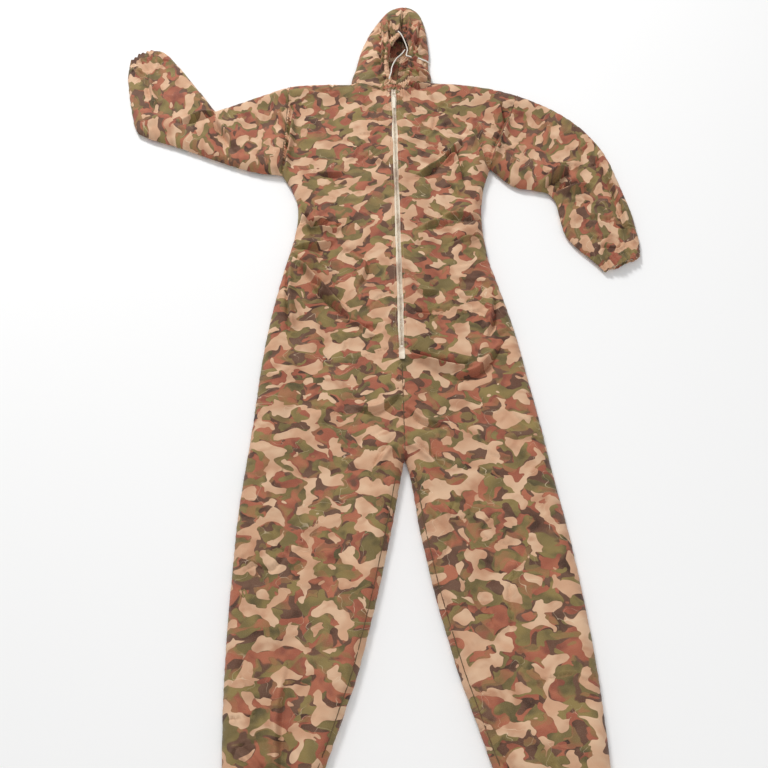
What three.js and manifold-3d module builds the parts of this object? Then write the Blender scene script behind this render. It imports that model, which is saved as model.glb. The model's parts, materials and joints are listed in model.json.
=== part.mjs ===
// Hooded coverall of printed nonwoven cloth, lying flat on its back. Millimetres, +Z up, +Y to the head.
// The origin is on the floor under the centre back at the waist, and X = 0 is the line of the front zip.
// Levels below are measured up from the crotch, and the whole group is lowered to the waist at the end.
// "Right" and "left" are the wearer's: the right side is -X.
import * as THREE from 'three';
import { mergeVertices } from 'three/addons/utils/BufferGeometryUtils.js';
import Module from 'manifold-3d';

const wasm = await Module();
wasm.setup();

// Cloth and clearances
const cloth = 1.5;            // wall of the stiffened cloth panels
const hemWall = 2.6;          // turned hem, two layers
const gap = 0.3;              // clearance between touching pieces
const tapeWall = 1.2;         // seam allowances and elastic
const seamWidth = 9;          // width of a seam allowance
const bodyLoft = 44;          // height of the flat body over the floor
const sleeveLoft = 36;        // height of the flat sleeves
const foldEdge = 13;          // how far the sloping side folds reach in and up

// Levels along the body, measured up from the crotch
const level = {
  shoulder: 1088, armpit: 788, waist: 665, belly: 515, hip: 315, seat: 70,
  thigh: -145, knee: -370, shin: -560,
};
const neckDip = 1046;         // neck seam at the centre front
const neckCorner = 1094;      // neck seam at the side folds
const inseam = 716;           // crotch to the ankle hem
const hemDepth = 26;          // ankle and wrist hems
const elasticWidth = 12;
const legAngle = 7.8;         // degrees that each leg spreads from the centre line
const kneeCentre = 220;       // centre of the leg at the knee fold, from the centre line

// Half widths on each side at those levels; a leg has an outer and an inner edge
const sides = {
  right: {
    sign: -1, neck: 117, shoulder: [281, 1090], armpit: [293, 788], clear: [420, 640],
    torso: [[251, level.waist], [280, level.belly], [315, level.hip], [342, level.seat]],
    legOuter: [[361, level.thigh], [367, level.knee], [363, level.shin], [349, -inseam]],
    legInner: [[30, level.thigh], [84, level.knee], [146, level.shin], [198, -inseam]],
  },
  left: {
    sign: 1, neck: 105, shoulder: [342, 1050], armpit: [247, 798], clear: [330, 430],
    torso: [[217, level.waist], [226, level.belly], [272, level.hip], [308, level.seat]],
    legOuter: [[338, level.thigh], [361, level.knee], [368, level.shin], [356, -inseam]],
    legInner: [[24, level.thigh], [71, level.knee], [128, level.shin], [180, -inseam]],
  },
};

// Sleeves: stations from the armhole to the wrist as [share x, share y, half width, turn in degrees]
const sleeves = {
  right: {
    length: 575,
    stations: [[-0.151, -0.012, 129, 88], [-0.515, 0.061, 107, 20.6], [-0.616, 0.245, 93, 36.7],
      [-0.694, 0.437, 62, 37], [-0.727, 0.485, 42, 36]],
    shareElbow: [-0.49, 0.06],
  },
  left: {
    length: 527,
    stations: [[0.166, -0.13, 143, 57.8], [0.308, -0.23, 114, 50.4], [0.371, -0.373, 93, 23.8],
      [0.394, -0.513, 93, -1], [0.407, -0.656, 91, 0], [0.457, -0.745, 64, 12], [0.478, -0.813, 48, 25.8]],
    shareElbow: [0.38, -0.39],
  },
};

// Hood, from the neck corners round the crown, as [x, share of the height]
const hoodHeight = 316;
const hoodRim = [[-102, 0.21], [-88, 0.42], [-61, 0.64], [-19, 0.9], [22, 0.985], [64, 0.99], [91, 0.83],
  [102, 0.56], [105, 0.23]];
const hoodSplit = [[0, 0], [22, 250], [38, 400]];     // line of the hood's centre seam, above neckDip

// Face opening: an ellipse, leaning a little, with a turned casing round it
const face = { x: 18, y: 1170, halfWidth: 29, halfHeight: 90, lean: -7 };
const casingWidth = 14;
const casingDepth = 6;
const cordDiameter = 3.5;
const grooveClear = 0.7;      // room round the drawcord in its casing

// Front zip
const zip = { bottom: 262, top: 1036, opening: 12, tape: 17, coilWidth: 2.6, coilHeight: 2.2, split: 1.6 };
const slider = { length: 13, plate: 1.2, wall: 0.8, home: 1020, pinRadius: 0.8 };
const tab = { length: 44, width: 9, tip: 5.5, plate: 1.3, bore: 1.15, barrel: 1.9 };
const stopLength = 4;
const patch = { width: 14, length: 30 };

const waistElastic = { y: 622, right: 205, left: 178, width: 8 };

// ---------- solids ----------

function toSolid(geometry) {
  const bare = geometry.clone();
  bare.deleteAttribute('normal');
  bare.deleteAttribute('uv');
  const merged = mergeVertices(bare, 1e-4);
  return new wasm.Manifold(new wasm.Mesh({
    numProp: 3,
    vertProperties: new Float32Array(merged.attributes.position.array),
    triVerts: new Uint32Array(merged.index.array),
  }));
}

function toGeometry(solid) {
  const mesh = solid.getMesh();
  const geometry = new THREE.BufferGeometry();
  geometry.setAttribute('position', new THREE.BufferAttribute(new Float32Array(mesh.vertProperties), 3));
  geometry.setIndex(new THREE.BufferAttribute(new Uint32Array(mesh.triVerts), 1));
  return geometry;
}

function shapeOf(points) {
  return new THREE.Shape(points.map(([x, y]) => new THREE.Vector2(x, y)));
}

// A flat pillow over the whole outline, moved in by inset on every side, with sloping side folds
function pillow(points, loft, inset) {
  const edge = foldEdge - inset / 2;
  const geometry = new THREE.ExtrudeGeometry(shapeOf(points), {
    depth: loft - 2 * inset - 2 * edge, bevelEnabled: true, bevelThickness: edge, bevelSize: edge,
    bevelOffset: -edge - inset, bevelSegments: 1,
  });
  geometry.translate(0, 0, inset + edge);
  return toSolid(geometry);
}

// The wall between two pillows
function wall(points, loft, inset, thickness) {
  return pillow(points, loft, inset).subtract(pillow(points, loft, inset + thickness));
}

function prism(points, low = -5, high = 90) {
  const geometry = new THREE.ExtrudeGeometry(shapeOf(points), { depth: high - low, bevelEnabled: false });
  geometry.translate(0, 0, low);
  return toSolid(geometry);
}

function box(low, high) {
  const size = low.map((value, axis) => high[axis] - value);
  const geometry = new THREE.BoxGeometry(...size);
  geometry.translate(...low.map((value, axis) => value + size[axis] / 2));
  return toSolid(geometry);
}

function rodAlongX(y, z, radius, length) {
  const geometry = new THREE.CylinderGeometry(radius, radius, length, 20);
  geometry.rotateZ(Math.PI / 2);
  geometry.translate(0, y, z);
  return toSolid(geometry);
}

// ---------- outline ----------

const unit = (degrees) => [Math.cos(degrees * Math.PI / 180), Math.sin(degrees * Math.PI / 180)];
const along = ([x, y], [dx, dy], distance) => [x + dx * distance, y + dy * distance];
const middle = ([ax, ay], [bx, by]) => [(ax + bx) / 2, (ay + by) / 2];

function armhole(name) {
  const { sign, shoulder, armpit } = sides[name];
  return [[sign * shoulder[0], shoulder[1]], [sign * armpit[0], armpit[1]]];
}

// Both edges of a sleeve, from the armhole to the wrist, and the wrist's centre, direction and edges
function sleeveEdges(name) {
  const { length, stations } = sleeves[name];
  const origin = middle(...armhole(name));
  const upper = [];
  const lower = [];
  let centre;
  for (const [shareX, shareY, half, turn] of stations) {
    centre = [origin[0] + shareX * length, origin[1] + shareY * length];
    upper.push(along(centre, unit(turn), half));
    lower.push(along(centre, unit(turn), -half));
  }
  const lastTurn = stations.at(-1)[3];
  const heading = unit(lastTurn + (name === 'right' ? 90 : -90));
  return { upper, lower, centre, heading, across: unit(lastTurn) };
}

// The leg's centre line, its direction down to the foot and the direction of its fold lines
function legLine(name) {
  const { sign } = sides[name];
  const heading = unit(-90 + sign * legAngle);
  return { centre: [sign * kneeCentre, level.knee], heading, across: [heading[1], -heading[0]] };
}

function sideOutline(name) {
  const { sign, torso, legOuter, legInner } = sides[name];
  const outward = ([x, y]) => [sign * x, y];
  const sleeve = sleeveEdges(name);
  const past = hemDepth;
  const leg = legLine(name);
  const ankle = [legOuter, legInner].map((edge) => along(outward(edge.at(-1)), leg.heading, hemDepth + past));
  const shoulder = armhole(name)[0];
  const armpit = armhole(name)[1];
  return [shoulder, ...sleeve.upper, along(sleeve.upper.at(-1), sleeve.heading, past),
    along(sleeve.lower.at(-1), sleeve.heading, past), ...sleeve.lower.reverse(), armpit,
    ...torso.map(outward), ...legOuter.map(outward), ankle[0], ankle[1],
    ...legInner.map(outward).reverse()];
}

const neckPoint = (name) => [sides[name].sign * sides[name].neck, neckCorner];
const crown = hoodRim.map(([x, share]) => [x, neckCorner + share * hoodHeight]);
const outline = [...sideOutline('right'), [0, -4], ...sideOutline('left').reverse(),
  neckPoint('left'), ...crown.reverse(), neckPoint('right')];

const bodyWall = wall(outline, bodyLoft, 0, cloth);
const bodyLining = wall(outline, bodyLoft, cloth + gap, tapeWall);
const bodyHem = wall(outline, bodyLoft, 0, hemWall);
const bodyHemLining = wall(outline, bodyLoft, hemWall + gap, tapeWall);
const sleeveWall = wall(outline, sleeveLoft, 0, cloth);
const sleeveHem = wall(outline, sleeveLoft, 0, hemWall);
const sleeveHemLining = wall(outline, sleeveLoft, hemWall + gap, tapeWall);

// ---------- cutting lines ----------

// The line between body and sleeve, drawn on past the shoulder and the armpit into empty space
function armholeLine(name, shift) {
  const [shoulder, armpit] = armhole(name);
  const { sign, clear } = sides[name];
  const rise = (shoulder[0] - armpit[0]) / (shoulder[1] - armpit[1]);
  const top = [shoulder[0] + rise * 60, shoulder[1] + 60];
  return [top, armpit, [sign * clear[0], clear[1]]].map(([x, y]) => [x + shift, y]);
}

function neckLine(shift) {
  return [[-400, 1134], neckPoint('right'), [0, neckDip], neckPoint('left'), [400, 1134]]
    .map(([x, y]) => [x, y + shift]);
}

function kneePoint(name, x, shift) {
  const { centre, across } = legLine(name);
  return [x, centre[1] + (x - centre[0]) * across[1] / across[0] + shift];
}

function bodyRegion(name) {
  const { sign } = sides[name];
  const line = armholeLine(name, -sign * gap / 2);
  const neck = neckLine(-gap / 2).filter(([x]) => sign * x > 10);
  const sorted = sign < 0 ? neck.reverse() : neck;
  const inner = sign * gap / 2;
  return prism([[inner, neckDip - gap / 2], ...sorted.slice(0, 1), [line[0][0], sorted[0][1] + 20], ...line,
    [sign * 520, line[2][1]], kneePoint(name, sign * 520, gap / 2), kneePoint(name, inner, gap / 2)]);
}

function sleeveRegion(name) {
  const { sign } = sides[name];
  const line = armholeLine(name, sign * gap / 2);
  return prism([...line, [sign * 1200, line[2][1] - 500], [sign * 1200, 1500], [line[0][0], 1500]]);
}

// A band across a limb, from one distance to another along its heading
function band({ centre, heading, across }, from, to, half = 260) {
  const start = along(centre, heading, from);
  const end = along(centre, heading, to);
  return prism([along(start, across, -half), along(start, across, half), along(end, across, half),
    along(end, across, -half)]);
}

// ---------- group and materials ----------

const group = new THREE.Group();
const printed = { color: 0x9a7758, roughness: 0.85, metalness: 0 };
const elastic = { color: 0xe8e2d6, roughness: 0.9, metalness: 0 };
const tapeCloth = { color: 0xd9cdb8, roughness: 0.85, metalness: 0 };
const coilPlastic = { color: 0xe3dccb, roughness: 0.5, metalness: 0 };
const sliderMetal = { color: 0xd8d2c4, roughness: 0.35, metalness: 0.6 };
const cordYarn = { color: 0xf2efe6, roughness: 0.8, metalness: 0 };

function add(name, solid, finish) {
  const geometry = solid.isBufferGeometry ? solid : toGeometry(solid);
  const mesh = new THREE.Mesh(geometry, new THREE.MeshStandardMaterial(finish));
  mesh.name = name;
  group.add(mesh);
}

// ---------- body, legs and their seams ----------

const zipGap = box([-zip.opening / 2, zip.bottom, bodyLoft / 2], [zip.opening / 2, neckDip + 60, bodyLoft + 5]);

function addBody(name) {
  const leg = legLine(name);
  const shinLength = (inseam + level.knee) / Math.cos(legAngle * Math.PI / 180);
  const hemStart = shinLength + gap;
  add(`body_${name}`, bodyWall.intersect(bodyRegion(name)).subtract(zipGap), printed);
  add(`lower_leg_${name}`, bodyWall.intersect(band(leg, gap / 2, shinLength)), printed);
  add(`ankle_hem_${name}`, bodyHem.intersect(band(leg, hemStart, hemStart + hemDepth)), printed);
  const elasticStart = hemStart + (hemDepth - elasticWidth) / 2;
  add(`ankle_elastic_${name}`,
    bodyHemLining.intersect(band(leg, elasticStart, elasticStart + elasticWidth)), elastic);
}

// The inseam's allowance, folded round the inner edge of the leg; it is parted at the knee fold
function addInseam(name) {
  const { sign, legInner } = sides[name];
  const edge = [[10, -45], ...legInner].map(([x, y]) => [sign * x, y]);
  const reach = foldEdge + seamWidth / 2;
  const strip = prism([[0, edge[0][1]], [0, edge.at(-1)[1]],
    ...edge.map(([x, y]) => [x + sign * reach, y]).reverse()]);
  const leg = legLine(name);
  const shinLength = (inseam + level.knee) / Math.cos(legAngle * Math.PI / 180);
  const lining = bodyLining.intersect(strip);
  add(`inseam_thigh_${name}`, lining.intersect(band(leg, -300, -4)), printed);
  add(`inseam_shin_${name}`, lining.intersect(band(leg, 4, shinLength - 4)), printed);
}

// The armhole seam's allowance is a ring on the body's side of the seam
function addArmholeSeam(name) {
  const { sign } = sides[name];
  const near = armholeLine(name, -sign * 1).slice(0, 2);
  const far = armholeLine(name, -sign * (1 + seamWidth)).slice(0, 2).reverse();
  const [armpit] = far;
  const foot = [near[1][0], armpit[1] - 6];
  add(`armhole_seam_${name}`, bodyLining.intersect(prism([...near, foot, [armpit[0], armpit[1] - 6], ...far])),
    printed);
}

for (const name of ['right', 'left']) {
  addBody(name);
  addInseam(name);
  addArmholeSeam(name);
}

const liningLow = cloth + gap;
add('centre_back_seam', box([-seamWidth / 2, 30, liningLow], [seamWidth / 2, neckDip - 14, liningLow + tapeWall]),
  printed);
add('centre_front_seam', box([-seamWidth / 2, 60, bodyLoft - liningLow - tapeWall],
  [seamWidth / 2, zip.bottom - 12, bodyLoft - liningLow]), printed);

const elasticLow = liningLow + tapeWall + gap;
add('waist_elastic', box([-waistElastic.right, waistElastic.y - waistElastic.width / 2, elasticLow],
  [waistElastic.left, waistElastic.y + waistElastic.width / 2, elasticLow + tapeWall]), elastic);

// The neck seam's allowance runs round the back from one edge of the zip tape to the other
const neckBand = prism([...neckLine(-1).slice(1, 4), ...neckLine(-1 - seamWidth).slice(1, 4).reverse()]);
const tapeZone = zip.tape + 3;
const neckFront = box([-tapeZone, 900, bodyLoft / 2], [tapeZone, 1200, bodyLoft]);
add('neck_seam', bodyLining.intersect(neckBand).subtract(neckFront), printed);

// ---------- sleeves ----------

function addSleeve(name) {
  const wrist = sleeveEdges(name);
  const beyond = band(wrist, -hemDepth - gap, 90);
  add(`sleeve_${name}`, sleeveWall.intersect(sleeveRegion(name)).subtract(beyond), printed);
  add(`cuff_hem_${name}`, sleeveHem.intersect(band(wrist, -hemDepth, 0)), printed);
  const elasticEnd = -(hemDepth - elasticWidth) / 2;
  add(`cuff_elastic_${name}`,
    sleeveHemLining.intersect(band(wrist, elasticEnd - elasticWidth, elasticEnd)), elastic);
}

addSleeve('right');
addSleeve('left');

// ---------- hood ----------

function faceEllipse(margin, steps = 40) {
  const turn = face.lean * Math.PI / 180;
  const curve = new THREE.EllipseCurve(face.x, face.y, face.halfWidth + margin, face.halfHeight + margin,
    0, 2 * Math.PI, false, turn);
  return curve.getPoints(steps).slice(0, steps).map((point) => [point.x, point.y]);
}

function addHood(name) {
  const { sign } = sides[name];
  const split = hoodSplit.map(([x, rise]) => [x + sign * gap / 2, neckDip + rise]);
  const neck = neckLine(gap / 2).filter(([x]) => sign * (x - hoodSplit[0][0]) > 1);
  const outwards = sign < 0 ? neck.reverse() : neck;
  const region = prism([...split.reverse(), ...outwards, [sign * 400, neckDip + 420]]);
  const opening = prism(faceEllipse(casingWidth + gap), bodyLoft / 2);
  add(`hood_${name}`, bodyWall.intersect(region).subtract(opening), printed);
}

addHood('right');
addHood('left');

function leaningStrip(half, from, to) {
  const centre = (share) => {
    const [start, , end] = hoodSplit;
    const t = share / end[1];
    return [start[0] + t * (end[0] - start[0]), neckDip + share];
  };
  const [foot, head] = [centre(from), centre(to)];
  return [[foot[0] - half, foot[1]], [foot[0] + half, foot[1]], [head[0] + half, head[1]],
    [head[0] - half, head[1]]];
}

add('hood_centre_seam', prism(leaningStrip(seamWidth / 2, 12, 318), liningLow, liningLow + tapeWall), printed);

const casingLow = bodyLoft - casingDepth;
const grooveHalf = cordDiameter / 2 + grooveClear;
const grooveTop = casingLow + 2 * grooveHalf;
const cordMiddle = casingWidth / 2;
const casing = prism(faceEllipse(casingWidth), casingLow, bodyLoft)
  .subtract(prism(faceEllipse(0), casingLow - 1, bodyLoft + 1))
  .subtract(prism(faceEllipse(cordMiddle + grooveHalf), casingLow - 1, grooveTop)
    .subtract(prism(faceEllipse(cordMiddle - grooveHalf), casingLow - 2, grooveTop + 1)));
add('face_hem', casing, printed);

function cordTube(points, steps) {
  const path = new THREE.CatmullRomCurve3(points.map((point) => new THREE.Vector3(...point)));
  const section = new THREE.Shape();
  const sides8 = 8;
  for (let corner = 0; corner < sides8; corner += 1) {
    const angle = corner * 2 * Math.PI / sides8;
    const place = [Math.cos(angle) * cordDiameter / 2, Math.sin(angle) * cordDiameter / 2];
    if (corner === 0) section.moveTo(...place);
    else section.lineTo(...place);
  }
  return toGeometry(toSolid(new THREE.ExtrudeGeometry(section, { steps, extrudePath: path, bevelEnabled: false })));
}

// The drawcord runs round inside the casing from one lower end of the face opening to the other
const cordLevel = casingLow + grooveHalf;
const faceRing = faceEllipse(cordMiddle).map(([x, y]) => [x, y, cordLevel]);
const lowest = 28;            // ring point just past the foot of the opening
const cordRun = [...faceRing.slice(lowest + 4), ...faceRing.slice(0, lowest)];
add('drawcord', cordTube(cordRun, 60), cordYarn);

// Free tails of the drawcord; they leave the casing at its foot and at the right of the opening
const over = bodyLoft + gap + cordDiameter / 2;
const tailRight = [[-11, 1083, over], [-9, 1091, over + 0.1], [-7, 1099, over], [-5, 1107, over - 1],
  [-4, 1117, over - 3.7], [-3, 1130, over - 8], [1, 1148, over - 12], [6, 1163, over - 15],
  [13, 1178, over - 17], [22, 1189, over - 18], [30, 1199, over - 18], [37, 1211, over - 17]];
const tailLeft = [[53, 1162, over], [48, 1165, over + 0.2], [43.5, 1169, over - 1.8], [40.5, 1174, over - 6],
  [39, 1182, over - 10], [41, 1192, over - 11.5], [43, 1204, over - 12], [41, 1216, over - 11],
  [37, 1228, over - 8], [32, 1240, over - 3.6], [27.5, 1249, over - 0.8], [23, 1256.5, over + 0.3],
  [18, 1263, over + 0.1]];
const bight = [[70, 1159, over], [78, 1155, over], [86, 1150, over + 0.2], [93, 1146, over + 0.4],
  [99, 1143, over - 2.8], [104, 1140, over - 7.5]];
add('cord_tail_right', cordTube(tailRight, 28), cordYarn);
add('cord_tail_left', cordTube(tailLeft, 28), cordYarn);
add('cord_bight', cordTube(bight, 12), cordYarn);

// ---------- front zip ----------

const tapeTop = bodyLoft - cloth - gap;
const tapeLow = tapeTop - tab.plate / 2;
const coilLow = tapeTop + gap;
const coilTop = coilLow + zip.coilHeight;

function addZipSide(name) {
  const { sign } = sides[name];
  const mirrored = (from, to, yLow, yHigh, zLow, zHigh) => box(
    [Math.min(sign * from, sign * to), yLow, zLow], [Math.max(sign * from, sign * to), yHigh, zHigh]);
  const inner = zip.split / 2;
  add(`zip_tape_${name}`, mirrored(inner, zip.tape, zip.bottom - 8, zip.top + 2, tapeLow, tapeTop), tapeCloth);
  add(`zip_coil_${name}`, mirrored(inner, inner + zip.coilWidth, zip.bottom + stopLength + gap,
    zip.top - stopLength - gap, coilLow, coilTop), coilPlastic);
  add(`zip_top_stop_${name}`, mirrored(inner, inner + zip.coilWidth, zip.top - stopLength, zip.top, coilLow,
    coilTop), coilPlastic);
}

addZipSide('right');
addZipSide('left');
const coilOuter = zip.split / 2 + zip.coilWidth;
add('zip_bottom_stop', box([-coilOuter, zip.bottom + gap, coilLow], [coilOuter, zip.bottom + stopLength, coilTop]),
  coilPlastic);
add('zip_end_patch', box([-patch.width / 2, zip.bottom - gap - patch.length, bodyLoft + gap],
  [patch.width / 2, zip.bottom - gap, bodyLoft + gap + 0.8]), tapeCloth);

// The slider's two plates clasp the coils; a thin post in the split joins them, and a pin carries the tab
const plateLow = coilTop + gap;
const plateTop = plateLow + slider.plate;
const pinHeight = plateTop + gap + tab.barrel;
const sliderEnds = [slider.home - slider.length / 2, slider.home + slider.length / 2];
const half = coilOuter + gap + slider.wall;
const postHalf = zip.split / 2 - gap;
const earInner = 2.4;
const earOuter = earInner + slider.wall;
const pinY = slider.home + 1;

function sliderSolid() {
  const bottomTop = tapeLow - gap;
  let solid = box([-half, sliderEnds[0], plateLow], [half, sliderEnds[1], plateTop])
    .add(box([-half, sliderEnds[0], bottomTop - slider.plate], [half, sliderEnds[1], bottomTop]))
    .add(box([-postHalf, slider.home, bottomTop - 0.1], [postHalf, sliderEnds[1] - 1, plateLow + 0.1]))
    .add(rodAlongX(pinY, pinHeight, slider.pinRadius, 2 * earOuter - 0.2));
  for (const sign of [-1, 1]) {
    const flange = [sign * half, sign * (half - slider.wall)];
    solid = solid.add(box([Math.min(...flange), sliderEnds[0], tapeTop + gap],
      [Math.max(...flange), sliderEnds[1], plateLow + 0.1]));
    const ear = [sign * earInner, sign * earOuter];
    solid = solid.add(box([Math.min(...ear), pinY - 1.5, plateTop - 0.1],
      [Math.max(...ear), pinY + 1.5, pinHeight + slider.pinRadius + 0.6]));
  }
  return solid;
}

function tabSolid() {
  const barrelHalf = earInner - gap;
  const neckHalf = barrelHalf;
  const low = pinHeight - tab.plate / 2;
  const end = pinY - tab.length;
  const shoulders = pinY - 6;
  const plate = prism([[-neckHalf, pinY - tab.bore], [-neckHalf, shoulders], [-tab.width / 2, shoulders - 4],
    [-tab.tip / 2, end], [tab.tip / 2, end], [tab.width / 2, shoulders - 4], [neckHalf, shoulders],
    [neckHalf, pinY - tab.bore]], low, low + tab.plate);
  return plate.add(rodAlongX(pinY, pinHeight, tab.barrel, 2 * barrelHalf))
    .subtract(rodAlongX(pinY, pinHeight, tab.bore, 40));
}

add('zip_slider', sliderSolid(), sliderMetal);
add('pull_tab', tabSolid(), sliderMetal);

group.position.y = -level.waist;

export default group;
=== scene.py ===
# Hooded camouflage coverall lying flat on its back on a pale floor.
import bpy
import json
import math
import numpy as np
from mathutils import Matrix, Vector, noise
from mathutils.geometry import delaunay_2d_cdt
from mathutils.bvhtree import BVHTree
from mathutils.kdtree import KDTree


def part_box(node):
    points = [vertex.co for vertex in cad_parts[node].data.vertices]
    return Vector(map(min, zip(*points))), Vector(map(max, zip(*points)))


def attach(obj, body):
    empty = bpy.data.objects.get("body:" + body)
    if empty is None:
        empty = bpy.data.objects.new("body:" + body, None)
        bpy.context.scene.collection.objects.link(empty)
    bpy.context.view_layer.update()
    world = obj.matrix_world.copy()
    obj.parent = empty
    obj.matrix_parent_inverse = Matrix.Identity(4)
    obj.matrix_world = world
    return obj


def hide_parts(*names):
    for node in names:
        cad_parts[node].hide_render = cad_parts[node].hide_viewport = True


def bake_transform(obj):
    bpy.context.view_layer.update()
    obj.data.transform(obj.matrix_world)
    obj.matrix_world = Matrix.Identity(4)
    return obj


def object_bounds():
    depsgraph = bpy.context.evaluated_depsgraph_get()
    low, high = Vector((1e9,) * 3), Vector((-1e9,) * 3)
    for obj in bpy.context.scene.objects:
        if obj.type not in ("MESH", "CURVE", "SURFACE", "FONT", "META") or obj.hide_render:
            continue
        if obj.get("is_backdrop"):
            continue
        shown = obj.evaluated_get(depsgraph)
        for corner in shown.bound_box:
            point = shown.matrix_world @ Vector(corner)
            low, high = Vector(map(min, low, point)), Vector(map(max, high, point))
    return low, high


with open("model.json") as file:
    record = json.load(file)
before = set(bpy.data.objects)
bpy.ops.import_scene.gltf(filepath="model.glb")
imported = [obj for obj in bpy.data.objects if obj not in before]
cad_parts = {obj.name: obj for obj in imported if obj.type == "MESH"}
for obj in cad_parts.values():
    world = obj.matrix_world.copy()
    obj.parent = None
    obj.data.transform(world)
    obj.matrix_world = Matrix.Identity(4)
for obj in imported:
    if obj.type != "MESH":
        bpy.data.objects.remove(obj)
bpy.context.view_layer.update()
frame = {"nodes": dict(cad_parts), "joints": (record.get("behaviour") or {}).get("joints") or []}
mm = 0.001
waistRise = 665                # the waist's height above the crotch; outlines below count from the crotch


def place(x, y, z=0.0):
    return Vector((x * mm, (y - waistRise) * mm, z * mm))


def deselectAll():
    for item in bpy.context.selected_objects:
        item.select_set(False)


def activate(*items):
    deselectAll()
    for item in items:
        item.select_set(True)
    bpy.context.view_layer.objects.active = items[0]


def meshObject(name, points, faceList, materials=()):
    mesh = bpy.data.meshes.new(name)
    mesh.from_pydata([tuple(p) for p in points], [], [tuple(int(i) for i in f) for f in faceList])
    for material in materials:
        mesh.materials.append(material)
    made = bpy.data.objects.new(name, mesh)
    bpy.context.scene.collection.objects.link(made)
    return made


# points counted from the crotch in millimetres, put in the frame in metres
def toFrame(points):
    return (np.asarray(points) - np.array([0, waistRise, 0])) * mm


def smoothAll(item):
    item.data.polygons.foreach_set("use_smooth", [True] * len(item.data.polygons))
    item.data.update()


def addClothMap(item, maps):
    layer = item.data.uv_layers.new(name="cloth")
    layer.data.foreach_set("uv", np.asarray(maps, float).ravel())


def thicken(item, thickness):
    activate(item)
    wall = item.modifiers.new("wall", "SOLIDIFY")
    wall.thickness = thickness
    wall.offset = -1
    bpy.ops.object.modifier_apply(modifier="wall")


deselectAll()

cameraSet = {"stand": (-57, -587, 1667), "aim": (-42, 190, 0), "lens": 37.5, "sensor": 36}
stand = place(*cameraSet["stand"])
bpy.ops.object.camera_add(location=stand)
camera = bpy.context.object
camera.name = "photoCamera"
camera.rotation_euler = (place(*cameraSet["aim"]) - stand).to_track_quat("-Z", "Y").to_euler()
camera.data.lens = cameraSet["lens"]
camera.data.sensor_width = cameraSet["sensor"]
bpy.context.scene.camera = camera
bpy.context.scene.view_settings.view_transform = "Standard"
print("camera placed")

# the drawcord's two ends and the loop at the hood's side, each a soft round cord
over = 46.05
cordSet = {"diameter": 3.5, "sides": 12}
cordRoutes = {
    "cordTailRight": [(-11, 1083, over), (-9, 1091, over + 0.1), (-7, 1099, over), (-5, 1107, over - 1),
                      (-4, 1117, over - 3.7), (-3, 1130, over - 8), (1, 1148, over - 12),
                      (6, 1163, over - 15), (13, 1178, over - 17), (22, 1189, over - 18),
                      (30, 1199, over - 18), (37, 1211, over - 17)],
    "cordTailLeft": [(53, 1162, over), (48, 1165, over + 0.2), (43.5, 1169, over - 1.8),
                     (40.5, 1174, over - 6), (39, 1182, over - 10), (41, 1192, over - 11.5),
                     (43, 1204, over - 12), (41, 1216, over - 11), (37, 1228, over - 8),
                     (32, 1240, over - 3.6), (27.5, 1249, over - 0.8), (23, 1256.5, over + 0.3),
                     (18, 1263, over + 0.1)],
    "cordBight": [(70, 1159, over), (78, 1155, over), (86, 1150, over + 0.2), (93, 1146, over + 0.4),
                  (99, 1143, over - 2.8), (104, 1140, over - 7.5)],
}


# points at even steps along a smooth curve through the given ones, and the curve's length
def evenLine(points, step, parts, least):
    p = np.array(points, float)
    padded = np.vstack([2 * p[0] - p[1], p, 2 * p[-1] - p[-2]])
    fine = []
    for a, b, c, d in zip(padded[:-3], padded[1:-2], padded[2:-1], padded[3:]):
        t = np.linspace(0, 1, parts, endpoint=False)[:, None]
        fine.append(0.5 * (2 * b + (c - a) * t + (2 * a - 5 * b + 4 * c - d) * t * t
                           + (3 * b - a - 3 * c + d) * t ** 3))
    fine = np.vstack([*fine, p[-1:]])
    travelled = np.concatenate([[0], np.cumsum(np.linalg.norm(np.diff(fine, axis=0), axis=1))])
    marks = np.linspace(0, travelled[-1], max(least, round(travelled[-1] / step)) + 1)
    line = np.stack([np.interp(marks, travelled, fine[:, k]) for k in range(p.shape[1])], axis=1)
    return line, travelled[-1]


def cordLine(route, step):
    return evenLine(route, step, 20, 2)


# a round tube along a line of points in millimetres, with rounded ends and a cloth map along it
def tube(name, line, radius, sides):
    rings = [(line[0], radius * 0.45)] + [(p, radius) for p in line[1:-1]] + [(line[-1], radius * 0.45)]
    ways = np.gradient(line, axis=0)
    side = np.array([0.0, 0.0, 1.0])
    points, maps = [], []
    for index, (centre, size) in enumerate(rings):
        way = ways[index] / np.linalg.norm(ways[index])
        across = np.cross(way, side)
        across /= np.linalg.norm(across)
        side = np.cross(across, way)
        angles = np.linspace(0, 2 * math.pi, sides, endpoint=False)
        points += [centre + size * (math.cos(t) * across + math.sin(t) * side) for t in angles]
    faces = []
    for ring in range(len(rings) - 1):
        for k in range(sides):
            a, b = ring * sides + k, ring * sides + (k + 1) % sides
            faces.append((a, b, b + sides, a + sides))
            step = 1.2 * mm
            maps += [(k / sides, ring * step), ((k + 1) / sides, ring * step),
                     ((k + 1) / sides, (ring + 1) * step), (k / sides, (ring + 1) * step)]
    first, last = len(points), len(points) + 1
    points += [line[0], line[-1]]
    top = (len(rings) - 1) * sides
    for k in range(sides):
        faces.append((first, (k + 1) % sides, k))
        faces.append((last, top + k, top + (k + 1) % sides))
        maps += [(0, 0)] * 6
    made = meshObject(name, toFrame(np.array(points)), faces)
    addClothMap(made, maps)
    smoothAll(made)
    return made


cords = {}
for name, route in cordRoutes.items():
    cords[name] = tube(name, cordLine(route, 1.2)[0], cordSet["diameter"] / 2, cordSet["sides"])
print("cords laid")


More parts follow.
